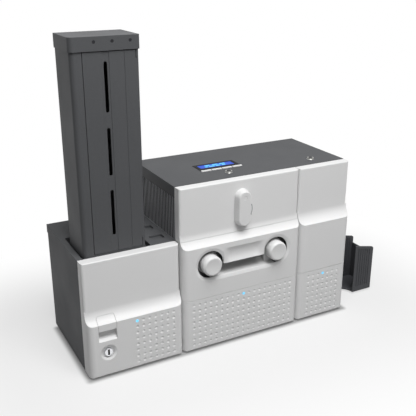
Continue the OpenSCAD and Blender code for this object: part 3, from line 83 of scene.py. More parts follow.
# %% Camera
scene = bpy.context.scene
AZIMUTH, ELEVATION = math.radians(-28.1), math.radians(20.6)
camera_data = bpy.data.cameras.new("camera")
camera_data.lens = 57.63
camera_data.sensor_width = 36.0
camera_data.clip_start, camera_data.clip_end = 0.05, 50
camera = bpy.data.objects.new("camera", camera_data)
scene.collection.objects.link(camera)
back = Vector((math.sin(AZIMUTH) * math.cos(ELEVATION),
               -math.cos(AZIMUTH) * math.cos(ELEVATION), math.sin(ELEVATION)))
camera.location = (-0.53325, -0.92655, 0.6030)
camera.rotation_mode = "QUATERNION"
camera.rotation_quaternion = (-back).to_track_quat("-Z", "Y")
scene.camera = camera
scene.view_settings.view_transform = "Standard"
print("camera looks along", [round(v, 3) for v in -back])

# %% [markdown]
# A finish is a small network of nodes. The helper below adds the nodes that the finishes here
# need and joins them, which keeps each recipe short enough to read in one go.

# %% Node helper


class Recipe:
    """The node tree of a material or of the world, with short ways to add and join nodes."""

    def __init__(self, name, owner=None, output="ShaderNodeOutputMaterial"):
        self.owner = owner or bpy.data.materials.new(name)
        self.owner.use_nodes = True
        self.tree = self.owner.node_tree
        self.tree.nodes.clear()
        self.output = self.tree.nodes.new(output)

    def add(self, kind, inputs=None, **settings):
        """Adds a node. An input is given as a value, or as the socket that feeds it."""
        node = self.tree.nodes.new(kind)
        for key, value in settings.items():
            setattr(node, key, value)
        for key, value in (inputs or {}).items():
            if isinstance(value, bpy.types.NodeSocket):
                self.tree.links.new(value, node.inputs[key])
            else:
                node.inputs[key].default_value = value
        return node

    def place(self):
        """The shaded point in the object's own frame, so that a finish moves with its piece."""
        return self.add("ShaderNodeTexCoord").outputs["Object"]

    def axes(self, vector):
        return self.add("ShaderNodeSeparateXYZ", {0: vector}).outputs

    def math(self, operation, *values):
        node = self.add("ShaderNodeMath", dict(enumerate(values)), operation=operation)
        return node.outputs["Value"]

    def vector(self, operation, *values, output="Vector"):
        node = self.add("ShaderNodeVectorMath", dict(enumerate(values)), operation=operation)
        return node.outputs[output]

    def scaled(self, colour, share):
        node = self.add("ShaderNodeVectorMath", {0: colour, "Scale": share}, operation="SCALE")
        return node.outputs["Vector"]

    def ramp(self, value, low, high, to_low=0.0, to_high=1.0, kind="LINEAR"):
        """Maps low to high onto to_low to to_high and holds the ends."""
        node = self.add("ShaderNodeMapRange", {"Value": value, "From Min": low, "From Max": high,
                        "To Min": to_low, "To Max": to_high}, interpolation_type=kind)
        return node.outputs["Result"]

    def noise(self, place, scale, detail=2.0):
        node = self.add("ShaderNodeTexNoise", {"Vector": place, "Scale": scale, "Detail": detail})
        return node.outputs["Fac"]

    def bump(self, height, strength, distance, normal=None):
        inputs = {"Height": height, "Strength": strength, "Distance": distance}
        if normal is not None:
            inputs["Normal"] = normal
        return self.add("ShaderNodeBump", inputs).outputs["Normal"]

    def mixed_colour(self, factor, low, high):
        return self.add("ShaderNodeMix", {0: factor, 6: low, 7: high}, data_type="RGBA").outputs[2]

    def shade(self, shader):
        self.tree.links.new(shader, self.output.inputs["Surface"])
        return self.owner

    def coat(self, colour, gloss, normal, **more):
        """Ends the recipe with the usual shader; more gives its other inputs by short names."""
        sockets = {"metallic": "Metallic", "specular": "Specular IOR Level"}
        inputs = {"Base Color": colour, "Roughness": gloss, "Normal": normal}
        inputs.update({sockets[key]: value for key, value in more.items()})
        return self.shade(self.add("ShaderNodeBsdfPrincipled", inputs).outputs["BSDF"])


def srgb(r, g, b, alpha=1.0):
    """A colour as the screen shows it, 0 to 255, turned into the light it stands for."""
    def line(c):
        c = c / 255
        return c / 12.92 if c <= 0.04045 else ((c + 0.055) / 1.055) ** 2.4
    return (line(r), line(g), line(b), alpha)


print("white cover grey 193 as light:", round(srgb(193, 193, 193)[0], 3))

# %% [markdown]
# Most of the machine is either moulded plastic or painted sheet. Both are nearly plain from a
# metre away, but never quite: the colour drifts a little over a hand's width, the gloss is
# uneven, and a fine grain breaks up the highlight. The same recipe makes all of them, with the
# size and depth of the grain as the difference. Two white parts get something more: the panels
# with dimples have a slightly raised rim round each one, and the finger grip of the cassette
# has painted shade that grows darker towards its bottom.

# %% Moulded and painted finishes
FRONT_Y = -0.09075
DIMPLE_PITCH, TOP_ROW_Z, ROWS = 0.0102, 0.0848, 8
RIM_START, RIM_END, RIM_HEIGHT = 0.0015, 0.0030, 0.0001
# The second number is the share of colour that painted shade takes away at the bottom of the
# finger grip.
GRIP_DEPTH, GRIP_PAINTED_SHADE = 0.020, 0.55
DRIFT_SCALE, GLOSS_SPREAD, GRAIN_STRENGTH = 14.0, 0.05, 0.6


def dimple_rims(r, centre_x, columns):
    """Height that raises the rim of each dimple of a panel, 0 in the dimple and 1 round it."""
    place = r.axes(r.place())
    half_w, half_h = columns * DIMPLE_PITCH / 2, ROWS * DIMPLE_PITCH / 2
    middle_z = TOP_ROW_Z - (ROWS - 1) * DIMPLE_PITCH / 2
    steps, inside = [], []
    for axis, origin, middle, half in (("X", centre_x, centre_x, half_w),
                                       ("Z", TOP_ROW_Z, middle_z, half_h)):
        step = r.math("WRAP", r.math("SUBTRACT", place[axis], origin), DIMPLE_PITCH / 2,
                      -DIMPLE_PITCH / 2)
        steps.append(r.math("POWER", step, 2.0))
        off = r.math("ABSOLUTE", r.math("SUBTRACT", place[axis], middle))
        inside.append(r.math("LESS_THAN", off, half))
    reach = r.math("SQRT", r.math("ADD", *steps))
    rim = r.ramp(reach, RIM_START, RIM_END, kind="SMOOTHSTEP")
    outside = r.math("SUBTRACT", 1.0, r.math("MULTIPLY", *inside))
    return r.math("MAXIMUM", rim, outside)


def grip_shade(r, place, middle_x, half_w):
    """Share of the colour left in the finger grip by painted shade, less and less towards its
    bottom.
    """
    spot = r.axes(place)
    painted_darkening = r.ramp(spot["Y"], FRONT_Y + GRIP_DEPTH * 0.4, FRONT_Y + GRIP_DEPTH,
                  to_high=GRIP_PAINTED_SHADE, kind="SMOOTHSTEP")
    off = r.math("ABSOLUTE", r.math("SUBTRACT", spot["X"], middle_x))
    painted_darkening = r.math("MULTIPLY", painted_darkening, r.math("LESS_THAN", off, half_w))
    return r.math("SUBTRACT", 1.0, painted_darkening)


def grained(name, colour, drift, rough, grain_size, grain_depth, speck=0.0, metallic=0.0,
            stretch=None, edge=0.0006, specular=0.5, dimples=None, grip=None):
    """Base colour with a slow drift, uneven gloss and a fine grain of grain_size metres."""
    r = Recipe(name)
    place = r.place()
    if stretch:
        place = r.add("ShaderNodeMapping", {"Vector": place, "Scale": stretch}).outputs["Vector"]
    slow = r.noise(place, DRIFT_SCALE, 3.0)
    fine = r.noise(place, 1.0 / grain_size)
    low = tuple(c * (1 - drift) for c in colour[:3]) + (1.0,)
    high = tuple(min(c * (1 + drift), 1.0) for c in colour[:3]) + (1.0,)
    tint = r.mixed_colour(slow, low, high)
    if speck > 0:
        tint = r.scaled(tint, r.ramp(fine, 0.35, 0.65, 1 - speck, 1 + speck))
    # Painted shade: the finger grip grows darker towards its bottom.
    if grip:
        tint = r.scaled(tint, grip_shade(r, place, *grip))
    gloss = r.ramp(slow, 0.3, 0.7, rough - GLOSS_SPREAD, rough + GLOSS_SPREAD)
    normal = r.add("ShaderNodeBevel", {"Radius": edge}, samples=4).outputs["Normal"]
    if dimples:
        normal = r.bump(dimple_rims(r, *dimples), 1.0, RIM_HEIGHT, normal)
    normal = r.bump(fine, GRAIN_STRENGTH, grain_depth, normal)
    return r.coat(tint, gloss, normal, metallic=metallic, specular=specular)


def white_plastic(name, **extra):
    return grained(name, srgb(218, 218, 218), 0.012, 0.42, 0.0005, 0.00005, 0.01, specular=0.3,
                   **extra)


# Each row: colour, drift, roughness, grain size, grain depth, then what is not as usual.
GRAINS = {
    "graphite_shell": (srgb(82, 83, 85), 0.05, 0.55, 0.0009, 0.00012,
                       {"speck": 0.05, "specular": 0.08}),
    "tower_paint": (srgb(82, 83, 85), 0.05, 0.52, 0.0008, 0.0001,
                    {"speck": 0.05, "specular": 0.1}),
    "steel": (srgb(150, 152, 155), 0.08, 0.34, 0.0004, 0.00004,
              {"speck": 0.04, "metallic": 1.0, "stretch": (1.0, 1.0, 0.08)}),
    "polished_metal": (srgb(238, 239, 242), 0.04, 0.2, 0.0003, 0.00002,
                       {"metallic": 1.0, "stretch": (1.0, 0.2, 1.0)}),
    "black_plastic": (srgb(34, 34, 36), 0.08, 0.55, 0.0007, 0.0001, {"speck": 0.06}),
    "tray_plastic": (srgb(69, 70, 73), 0.06, 0.46, 0.0009, 0.00014,
                     {"speck": 0.05, "specular": 0.25}),
    "soft_rubber": (srgb(30, 30, 31), 0.12, 0.78, 0.0006, 0.0002, {"speck": 0.12}),
    "bezel_plastic": (srgb(16, 17, 20), 0.05, 0.45, 0.0006, 0.00003,
                      {"speck": 0.02, "specular": 0.05}),
    "can_metal": (srgb(168, 168, 165), 0.06, 0.38, 0.0005, 0.00004,
                  {"speck": 0.03, "metallic": 1.0}),
    "ribbon": (srgb(42, 36, 48), 0.15, 0.3, 0.0012, 0.00003, {"speck": 0.05}),
    "board": (srgb(34, 92, 52), 0.06, 0.4, 0.0015, 0.00005, {"speck": 0.05}),
    "black_steel": (srgb(40, 40, 43), 0.1, 0.4, 0.0003, 0.00003,
                    {"speck": 0.05, "metallic": 0.6}),
}
FINISHES = {name: grained(name, *numbers, **extra)
            for name, (*numbers, extra) in GRAINS.items()}
FINISHES["white_cover"] = white_plastic("white_cover")

# Where the dimples are: x of the middle column of the field, and the number of columns.
DIMPLED = {"hopper_cover": (-0.20915 + 3 * DIMPLE_PITCH, 7), "printer_lower_panel": (-0.02015, 19),
           "output_lower_panel": (0.14135, 7)}
for panel, field in DIMPLED.items():
    FINISHES["dimpled_" + panel] = white_plastic("dimpled_" + panel, dimples=field)

supply_mid = sum(corner.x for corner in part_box("supply_spool")) / 2
takeup_mid = sum(corner.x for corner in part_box("takeup_spool")) / 2
# The white of the cassette front, with painted shade in its finger grip.
FINISHES["grip_white_painted_shade"] = white_plastic("grip_white_painted_shade", grip=((supply_mid + takeup_mid) / 2,
                                                           (takeup_mid - supply_mid) / 2))
print("grained finishes:", len(FINISHES))

# %% [markdown]
# The status lights and the display make their own light. A status light is brightest in its
# middle; the display is a blue field that fades a little towards its edges, because its lamp
# sits behind the middle.

# %% Lit finishes
DARK_GLASS, GLASS_ROUGH, GLASS_SPECULAR = srgb(20, 24, 30), 0.3, 0.06


def lit(r, colour, strength, glass):
    """Ends a recipe with glass that gives its own light."""
    shader = r.add("ShaderNodeBsdfPrincipled", {"Base Color": glass, "Emission Color": colour,
                   "Emission Strength": strength, "Roughness": GLASS_ROUGH,
                   "Specular IOR Level": GLASS_SPECULAR})
    return r.shade(shader.outputs["BSDF"])


def lit_lens(name, colour, strength):
    """A small lamp behind a lens whose brightness is a little uneven."""
    r = Recipe(name)
    mottle = r.noise(r.place(), 900.0, 1.0)
    return lit(r, colour, r.ramp(mottle, 0.0, 1.0, strength * 0.85, strength * 1.15), DARK_GLASS)


def lit_screen(name, edge_colour, middle_colour, low, high):
    """A display whose lamp is brightest in the middle, with the fine dots of its panel."""
    r = Recipe(name)
    place = r.place()
    middle = [(a + b) / 2 for a, b in zip(low, high)]
    half = [(b - a) / 2 for a, b in zip(low, high)]
    centred = r.add("ShaderNodeMapping", {"Vector": place, "Scale": (1 / half[0], 1 / half[1], 0),
                    "Location": (-middle[0] / half[0], -middle[1] / half[1], 0)})
    reach = r.vector("LENGTH", centred.outputs["Vector"], output="Value")
    fade = r.ramp(reach, 0.2, 1.0, kind="SMOOTHSTEP")
    dots = r.add("ShaderNodeTexVoronoi", {"Vector": place, "Scale": 2400.0}, feature="F1")
    glow = r.ramp(dots.outputs["Distance"], 0.0, 1.0, 1.05, 0.9)
    return lit(r, r.mixed_colour(fade, middle_colour, edge_colour), glow, srgb(6, 8, 30))


def ribbed(name, node_name, rib_colour, gap_painted_shade):
    """Grey grille ribs with black painted shade between them, told apart by their depth along x.
    """
    low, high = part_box(node_name)
    rib_d = (high.x - low.x) / 2
    r = Recipe(name)
    place = r.place()
    # Painted shade: the deeper part between the ribs turns black.
    gap = r.ramp(r.axes(place)["X"], low.x + 0.02 * rib_d, low.x + 0.12 * rib_d)
    grain = r.noise(place, 1200.0)
    return r.coat(r.mixed_colour(gap, rib_colour, gap_painted_shade), r.ramp(grain, 0.0, 1.0, 0.45, 0.65),
                  r.bump(grain, 0.5, 0.0001), specular=0.15)


FINISHES["light_lens"] = lit_lens("light_lens", srgb(130, 214, 255), 1.2)
FINISHES["screen"] = lit_screen("screen", srgb(10, 76, 212), srgb(24, 128, 240),
                                *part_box("display_screen"))
# The grille gets black painted shade between its ribs.
FINISHES["grille_plastic"] = ribbed("grille_plastic", "side_grille", srgb(158, 159, 162),
                                    srgb(24, 24, 26))
SPECIAL = {"cap_screws": "black_steel", "side_grille": "grille_plastic",
           "button_rings": "can_metal"}
for node_name, node in sorted(frame["nodes"].items()):
    for place_of in node.material_slots:
        finish = SPECIAL.get(node_name, place_of.material.name.split(".")[0])
        if finish == "white_cover" and node_name in DIMPLED:
            finish = "dimpled_" + node_name
        if finish == "white_cover" and node_name == "cassette_front":
            finish = "grip_white_painted_shade"
        place_of.material = FINISHES[finish]
print("finished nodes:", len(frame["nodes"]))

# %% [markdown]
# The fine parts are made in two ways. Plates have an outline, a thickness and slightly eased
# edges, and lie on a front or a top face. Turned parts have a profile that is swept round an
# axis from front to back. Each piece rides on the body that carries the CAD node it sits on.

# %% Shape helpers
SHARP = math.radians(35)
ON_FRONT = Matrix(((1, 0, 0), (0, 0, -1), (0, 1, 0))).to_4x4()
ON_TOP = Matrix.Identity(4)


def body_under(node_name):
    return body_of(frame["nodes"][node_name])[0]


def rounded(x0, y0, x1, y1, radius, steps=5):
    """Corners of a rectangle with rounded corners, anticlockwise, in metres."""
    corners = ((x1 - radius, y0 + radius, -90), (x1 - radius, y1 - radius, 0),
               (x0 + radius, y1 - radius, 90), (x0 + radius, y0 + radius, 180))
    return [(x + radius * math.cos(math.radians(start + 90 * i / steps)),
             y + radius * math.sin(math.radians(start + 90 * i / steps)))
            for x, y, start in corners for i in range(steps + 1)]


def mesh_of(name, shape):
    mesh = bpy.data.meshes.new(name)
    shape.to_mesh(mesh)
    shape.free()
    return mesh


def finished(name, mesh, node_name, finish, ease=0.0):
    """Links a mesh as a piece, eases its edges, gives it a finish and lets it ride."""
    piece = bpy.data.objects.new(name, mesh)
    scene.collection.objects.link(piece)
    mesh.materials.append(FINISHES[finish])
    if ease > 0:
        bevel = piece.modifiers.new("eased edges", "BEVEL")
        bevel.width, bevel.segments, bevel.limit_method = ease, 2, "ANGLE"
        bevel.angle_limit = math.radians(40)
    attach(piece, body_under(node_name))
    return piece


def solid(name, shape, node_name, finish, ease=0.0):
    """A finished piece from a closed shape, with its faces outwards and its sharp edges kept."""
    bmesh.ops.recalc_face_normals(shape, faces=shape.faces)
    for edge in shape.edges:
        edge.smooth = edge.calc_face_angle(0.0) < SHARP
    return finished(name, mesh_of(name, shape), node_name, finish, ease)


def plates(name, outlines, z0, z1, turn, node_name, finish, ease=0.0):
    """One piece made of flat plates from z0 to z1, on the body that carries node_name."""
    shape = bmesh.new()
    for outline in outlines:
        face = shape.faces.new([shape.verts.new((x, y, z0)) for x, y in outline])
        raised = bmesh.ops.extrude_face_region(shape, geom=[face])
        lifted = [g for g in raised["geom"] if isinstance(g, bmesh.types.BMVert)]
        bmesh.ops.translate(shape, verts=lifted, vec=(0, 0, z1 - z0))
    shape.transform(turn)
    return solid(name, shape, node_name, finish, ease)


def swept(shape, profile, x, z, count, start=0, stop=360, loop=True):
    """Sweeps (radius, y) points about an axis along y. Returns the pairs of rings it joined."""
    rings = []
    for i in range(count if stop - start == 360 else count + 1):
        t = math.radians(start + (stop - start) * i / count)
        rings.append([shape.verts.new((x + r * math.cos(t), y, z + r * math.sin(t)))
                      for r, y in profile])
    pairs = [(rings[i], rings[(i + 1) % len(rings)]) for i in range(count)]
    points = len(profile)
    for ring, after in pairs:
        for j in range(points if loop else points - 1):
            k = (j + 1) % points
            shape.faces.new((ring[j], ring[k], after[k], after[j]))
    return pairs


print("display rides on:", body_under("display_screen"))

# %% [markdown]
# The display shows its state as light blocks on blue. The real one shows words, which are left
# off here, so two rows of plain blocks stand in for them: wide ones above, narrow ones below.
# They are thin plates just above the glass, in a finish that glows.

# %% Display content
FINISHES["lit_block"] = lit_lens("lit_block", srgb(104, 214, 255), 1.1)
glass_low, glass_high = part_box("display_screen")
glass_w, glass_d = glass_high.x - glass_low.x, glass_high.y - glass_low.y
# Each row: bottom and top as shares of the glass, then the left and right ends of its blocks.
rows = ((0.62, 0.86, (0.20, 0.34, 0.42, 0.58, 0.64, 0.80)),
        (0.20, 0.44, (0.16, 0.24, 0.28, 0.44, 0.48, 0.60, 0.66, 0.76)))
blocks = []
for bottom, top, marks in rows:
    y0, y1 = glass_low.y + bottom * glass_d, glass_low.y + top * glass_d
    for start, stop in zip(marks[::2], marks[1::2]):
        blocks.append(rounded(glass_low.x + start * glass_w, y0, glass_low.x + stop * glass_w, y1,
                              0.0006))
block_plates = plates("display_blocks", blocks, glass_high.z + 0.00002, glass_high.z + 0.0001,
                      ON_TOP, "display_screen", "lit_block")
print("display blocks:", len(blocks))

# %% [markdown]
# The key goes into a narrow slot in the lock barrel. The slot is cut in the CAD model, and this
# black plate of painted shade fills it up to the face of the barrel. It is a little wider than
# the slot, so that the keyway reads from a metre away as it does in the picture.

# %% Keyway
# The black of the keyway plate is painted shade.
FINISHES["keyway_black"] = grained("keyway_black", srgb(10, 10, 11), 0.05, 0.7, 0.0005, 0.00002,
                                   specular=0.05)
barrel_low, barrel_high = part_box("lock_barrel")
barrel_r = (barrel_high.x - barrel_low.x) / 2
lock_x, lock_z = barrel_low.x + barrel_r, barrel_low.z + barrel_r
slot_half_w, slot_half_h, slot_d, slot_proud = 0.0015, 0.0046, 0.0008, 0.00003
keyway = plates("keyway_shadow", [rounded(lock_x - slot_half_w, lock_z - slot_half_h,
                lock_x + slot_half_w, lock_z + slot_half_h, 0.0004)],
                -barrel_low.y - slot_d, -barrel_low.y + slot_proud, ON_FRONT,
                "lock_barrel", "keyway_black")
print("lock barrel radius, mm:", round(barrel_r * 1000, 2))

# %% [markdown]
# Beside the oval knob a curved arrow shows which way it turns. It is a thin print in light
# grey, drawn here as a bent strip with a pointed end, and laid on the face of the white door,
# which stands 12.5 mm behind the front of the ledge.

# %% Turning arrow
FINISHES["grey_print"] = grained("grey_print", srgb(136, 137, 140), 0.04, 0.5, 0.0004, 0.00001,
                                 specular=0.3)
knob_low, knob_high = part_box("turn_knob")
arc_x = (knob_low.x + knob_high.x) / 2
arc_z, arc_r, arc_w, head_w = knob_low.z + 0.0250, 0.0202, 0.0013, 0.004
PRINT_T, DOOR_SETBACK = 0.00002, 0.0125
door_face = -FRONT_Y - DOOR_SETBACK


def on_arc(radius, angle):
    return arc_x + radius * math.cos(angle), arc_z + radius * math.sin(angle)


around = [math.radians(angle) for angle in range(22, -27, -4)]
outer = [on_arc(arc_r + arc_w / 2, t) for t in around]
inner = [on_arc(arc_r - arc_w / 2, t) for t in reversed(around)]
head = [on_arc(arc_r + head_w / 2, around[-1]), on_arc(arc_r, math.radians(-38)),
        on_arc(arc_r - head_w / 2, around[-1])]
arrow = plates("turning_arrow", [outer + inner, head], door_face - PRINT_T, door_face + PRINT_T,
               ON_FRONT, "upper_door", "grey_print")
print("arrow on the door face at y, mm:", round(-door_face * 1000, 2))

# %% [markdown]
# Each round knob sits in a well in the white cassette front. The gap round it is dark because
# a black lining of painted shade is put in the well. The lining is turned from a thin L-shaped
# profile. It stops short of the finger grip, where the well is open to one side.

# %% Painted shade in the wells
WELL_R, WELL_DEPTH, WELL_GAP, FLOOR_IN_R = 0.023, 0.0119, 0.00015, 0.0185
SHADE_LINING_T, SHADE_LINING_IN = 0.0005, 0.0035


def painted_shade_lining(name, reel_node, inner_side):
    """A black lining of painted shade in one knob's well, open on the side of the finger grip."""
    low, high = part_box(reel_node)
    x, z = (low.x + high.x) / 2, (low.z + high.z) / 2
    r_out, front, floor_y = WELL_R - WELL_GAP, FRONT_Y + SHADE_LINING_IN, FRONT_Y + WELL_DEPTH
    profile = [(r_out, front), (r_out, floor_y), (FLOOR_IN_R, floor_y),
               (FLOOR_IN_R, floor_y - SHADE_LINING_T), (r_out - SHADE_LINING_T, floor_y - SHADE_LINING_T),
               (r_out - SHADE_LINING_T, front)]
    start, stop = (-4, 270) if inner_side > 0 else (-90, 184)
    shape = bmesh.new()
    pairs = swept(shape, profile, x, z, 48, start, stop)
    for ring in (pairs[0][0], pairs[-1][1]):
        shape.faces.new(ring)
    piece = solid(name, shape, "cassette_front", "black_plastic")


# Both wells get the black lining of painted shade.
painted_shade_lining("supply_painted_shade_lining", "supply_spool", 1)
painted_shade_lining("takeup_painted_shade_lining", "takeup_spool", -1)
print("collars line wells of radius, mm:", WELL_R * 1000)

# %% [markdown]
# A reel is one turned part: a white knob in front, a black shaft and a core behind. In the
# picture the knobs are a little slimmer than the solids that stand for them, so both reels are
# turned here again from a profile, with the same length and place and a knob 3.8 mm narrower.

# %% Reels
KNOB_R, KNOB_FACE_R, KNOB_BACK = 0.0166, 0.0143, 0.009
SHAFT_R, CORE_R, CORE_START, CORE_TAIL = 0.0070, 0.0080, 0.030, 0.0062


def turned(name, profile, x, z, node_name, finish):
    """A piece turned about an axis along y from (radius, y) points, closed at both ends."""
    shape = bmesh.new()
    ends = [shape.verts.new((x, profile[0][1], z)), shape.verts.new((x, profile[-1][1], z))]
    for this, after in swept(shape, profile, x, z, 72, loop=False):
        shape.faces.new((ends[0], this[0], after[0]))
        shape.faces.new((ends[1], after[-1], this[-1]))
    for face in shape.faces:
        face.smooth = True
    return solid(name, shape, node_name, finish)


for side in ("supply", "takeup"):
    low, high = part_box(side + "_spool")
    reel_x, reel_mid_z = (low.x + high.x) / 2, (low.z + high.z) / 2
    back_y, front_y = high.y, low.y
    core_back = back_y - CORE_TAIL
    knob_profile = [(KNOB_FACE_R - 0.0030, front_y + 0.0004), (KNOB_FACE_R - 0.0010, front_y),
                    (KNOB_FACE_R - 0.0003, front_y + 0.0001),
                    (KNOB_FACE_R + 0.0004, front_y + 0.0005),
                    (KNOB_R - 0.0006, front_y + 0.0026), (KNOB_R - 0.0002, front_y + 0.0032),
                    (KNOB_R, front_y + 0.0040), (KNOB_R, FRONT_Y + KNOB_BACK)]
    shaft_profile = [(SHAFT_R, FRONT_Y + KNOB_BACK), (SHAFT_R, FRONT_Y + CORE_START),
                     (CORE_R, FRONT_Y + CORE_START + 0.0001), (CORE_R, core_back),
                     (SHAFT_R, core_back + 0.0001), (SHAFT_R, back_y - 0.0004),
                     (SHAFT_R - 0.0004, back_y)]
    knob = turned(side + "_knob", knob_profile, reel_x, reel_mid_z, side + "_spool",
                  "white_cover")
    shaft = turned(side + "_shaft", shaft_profile, reel_x, reel_mid_z, side + "_spool",
                   "black_plastic")
    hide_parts(side + "_spool")
    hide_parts(side + "_spool")
    print(side, "reel from y", round(front_y * 1000, 1), "to", round(back_y * 1000, 1), "mm")

# %% [markdown]
# Above the grip the white front is scooped out a little between the two wells. In the CAD model
# that hollow ends in a straight wall at each side. The real moulding runs out softly, so a thin
# ramp of the same plastic fills each end: its height follows the round hollow, and its depth
# eases from the front face down to the bottom of the hollow.

# %% Ends of the scoop
GRIP_TOP, SCOOP_H, SCOOP_D, RAMP_L = 0.1475, 0.026, 0.0032, 0.014
FINISHES["white_ramp"] = white_plastic("white_ramp", edge=0.00001)


def scoop_end(name, wall_x, toward):
    """A ramp from the end wall of the scoop to its bottom, closed behind inside the front."""
    radius = (SCOOP_H ** 2 / 4 + SCOOP_D ** 2) / (2 * SCOOP_D)
    columns, levels, sunk, proud = 12, 16, 0.0004, 0.00002
    shape = bmesh.new()
    fronts, backs = [], []
    for i in range(columns + 1):
        share = i / columns
        ease = share * share * (3 - 2 * share)
        x = wall_x + toward * RAMP_L * share
        front_row, back_row = [], []
        for j in range(levels + 1):
            up = (SCOOP_H - 0.0001) * (j / levels - 0.5)
            deep = math.sqrt(radius ** 2 - up ** 2) - (radius - SCOOP_D)
            z = GRIP_TOP + SCOOP_H / 2 + up
            front_row.append(shape.verts.new((x, FRONT_Y + deep * ease - proud, z)))
            back_row.append(shape.verts.new((x, FRONT_Y + deep + sunk, z)))
        fronts.append(front_row)
        backs.append(back_row)
    for grid in (fronts, backs):
        for row, after in zip(grid, grid[1:]):
            for j in range(levels):
                face = shape.faces.new((row[j], row[j + 1], after[j + 1], after[j]))
                face.smooth = True
    edges = ([(fronts[i][j], fronts[i + 1][j], backs[i + 1][j], backs[i][j])
              for i in range(columns) for j in (0, levels)]
             + [(fronts[i][j], fronts[i][j + 1], backs[i][j + 1], backs[i][j])
                for j in range(levels) for i in (0, columns)])
    for corners in edges:
        shape.faces.new(corners)
    piece = solid(name, shape, "cassette_front", "white_ramp")


scoop_end("scoop_end_left", supply_mid + WELL_R, 1)
scoop_end("scoop_end_right", takeup_mid - WELL_R, -1)
print("scoop runs between, mm:", round((supply_mid + WELL_R) * 1000, 1),
      round((takeup_mid - WELL_R) * 1000, 1))

# %% [markdown]
# The grille on the left side of the printer has upright ribs. The CAD model has them too, but
# closer together than the picture shows, so the grille is cut again here from a comb-shaped
# outline at the wider pitch. A plain strip closes it under the rim of the top cover.

# %% Side grille
RIB_PITCH, RIB_W, TOP_STRIP, FIRST_RIB = 0.0059, 0.0030, 0.003, 0.001
grille_low, grille_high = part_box("side_grille")
rib_foot = (grille_low.x + grille_high.x) / 2
comb = [(grille_high.x, grille_low.y), (grille_high.x, grille_high.y), (rib_foot, grille_high.y)]
rib_count = int((grille_high.y - grille_low.y) / RIB_PITCH)
for i in reversed(range(rib_count)):
    y = grille_low.y + FIRST_RIB + i * RIB_PITCH
    comb += [(rib_foot, y + RIB_W), (grille_low.x, y + RIB_W), (grille_low.x, y), (rib_foot, y)]
comb.append((rib_foot, grille_low.y))
strip = rounded(rib_foot, grille_low.y, grille_high.x, grille_high.y, 0.0002, 2)
ribs = plates("grille_ribs", [comb], grille_low.z, grille_high.z - TOP_STRIP, ON_TOP,
              "side_grille", "grille_plastic")
header = plates("grille_header", [strip], grille_high.z - TOP_STRIP, grille_high.z, ON_TOP,
                "side_grille", "grille_plastic")
for piece in (ribs, header):
    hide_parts("side_grille")
print("grille ribs:", rib_count)

# %% [markdown]
# The ribbon is a thin film that runs off the supply roll, under two bars and the print head,
# and onto the take-up roll. Its colour panels follow each other in turn: yellow, magenta, cyan,
# black and a clear overlay. The film is one strip of faces along that path, so the panels can
# be counted along its length.

# %% Ribbon film
PANELS = (srgb(214, 180, 40), srgb(176, 40, 96), srgb(30, 120, 168), srgb(26, 24, 28),
          srgb(150, 150, 150))
PANEL_LENGTH, TURN_T = 0.026, 0.0007


def panel_film(name, along):
    """Glossy film whose colour changes every PANEL_LENGTH metres in the along direction."""
    r = Recipe(name)
    place = r.place()
    repeat = PANEL_LENGTH * len(PANELS)
    run = r.vector("DOT_PRODUCT", place, along, output="Value")
    share = r.math("DIVIDE", r.math("WRAP", run, repeat, 0.0), repeat)
    ramp = r.add("ShaderNodeValToRGB", {"Fac": share})
    ramp.color_ramp.interpolation = "CONSTANT"
    stops = ramp.color_ramp.elements
    stops[1].position = 1 / len(PANELS)
    for i in range(2, len(PANELS)):
        stops.new(i / len(PANELS))
    for stop, colour in zip(stops, PANELS):
        stop.color = colour
    ripple = r.noise(place, 120.0)
    return r.coat(ramp.outputs["Color"], r.ramp(ripple, 0.0, 1.0, 0.16, 0.3),
                  r.bump(ripple, 0.4, 0.0002))


def wound_film(name, centre_x, centre_z):
    """The side of a roll: fine turns of film, seen as thin rings round the core."""
    r = Recipe(name)
    centred = r.add("ShaderNodeMapping", {"Vector": r.place(), "Scale": (1, 0, 1),
                    "Location": (-centre_x, 0, -centre_z)}).outputs["Vector"]
    reach = r.vector("LENGTH", centred, output="Value")
    share = r.math("DIVIDE", r.math("PINGPONG", reach, TURN_T), TURN_T)
    slow = r.noise(centred, 240.0)
    tint = r.mixed_colour(r.math("MULTIPLY", share, slow), srgb(30, 26, 36), srgb(92, 64, 86))
    return r.coat(tint, r.ramp(slow, 0.0, 1.0, 0.2, 0.4), r.bump(share, 0.5, 0.0002))


film_low, film_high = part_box("ribbon_film")
supply_low, supply_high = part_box("supply_roll")
takeup_low, takeup_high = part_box("takeup_roll")


def centre_of(low, high):
    return (low.x + high.x) / 2, (low.z + high.z) / 2, (high.x - low.x) / 2


supply_x, reel_z, supply_r = centre_of(supply_low, supply_high)
takeup_x, _, takeup_r = centre_of(takeup_low, takeup_high)
BAR_IN, FILM_T, SLACK = 0.0004, 0.0001, 0.0003
bar_left, bar_right, web_z = film_low.x + BAR_IN, film_high.x - BAR_IN, film_low.z + FILM_T


def leave_point(x, radius, bar_x, outward):
    """Where a straight run from the bar touches a roll, on its outward side."""
    reach = Vector((x - bar_x, reel_z - web_z))
    distance = reach.length
    lean = math.asin(radius / distance)
    heading = math.atan2(reach.y, reach.x) + outward * lean
    run = math.sqrt(distance ** 2 - radius ** 2)
    return bar_x + run * math.cos(heading), web_z + run * math.sin(heading)


print("rolls, mm:", round(supply_r * 1000, 1), round(takeup_r * 1000, 1),
      "bars at", round(bar_left * 1000, 1), round(bar_right * 1000, 1))

# %% [markdown]
# The path of the film is a short list of points: the touching point on the supply roll, the two
# bars, and the touching point on the take-up roll. Each pair of points is split into short runs
# so that a slight slack can be given to the sloping stretches.

# %% Film strip
def inward(x0, z0, x1, z1, slack, parts=8):
    """Points of a stretch of film that bows a little to one side."""
    run = Vector((x1 - x0, z1 - z0))
    side = Vector((-run.y, run.x)).normalized()
    return [(x0 + run.x * t + side.x * slack * math.sin(math.pi * t),
             z0 + run.y * t + side.y * slack * math.sin(math.pi * t))
            for t in (i / parts for i in range(parts + 1))]


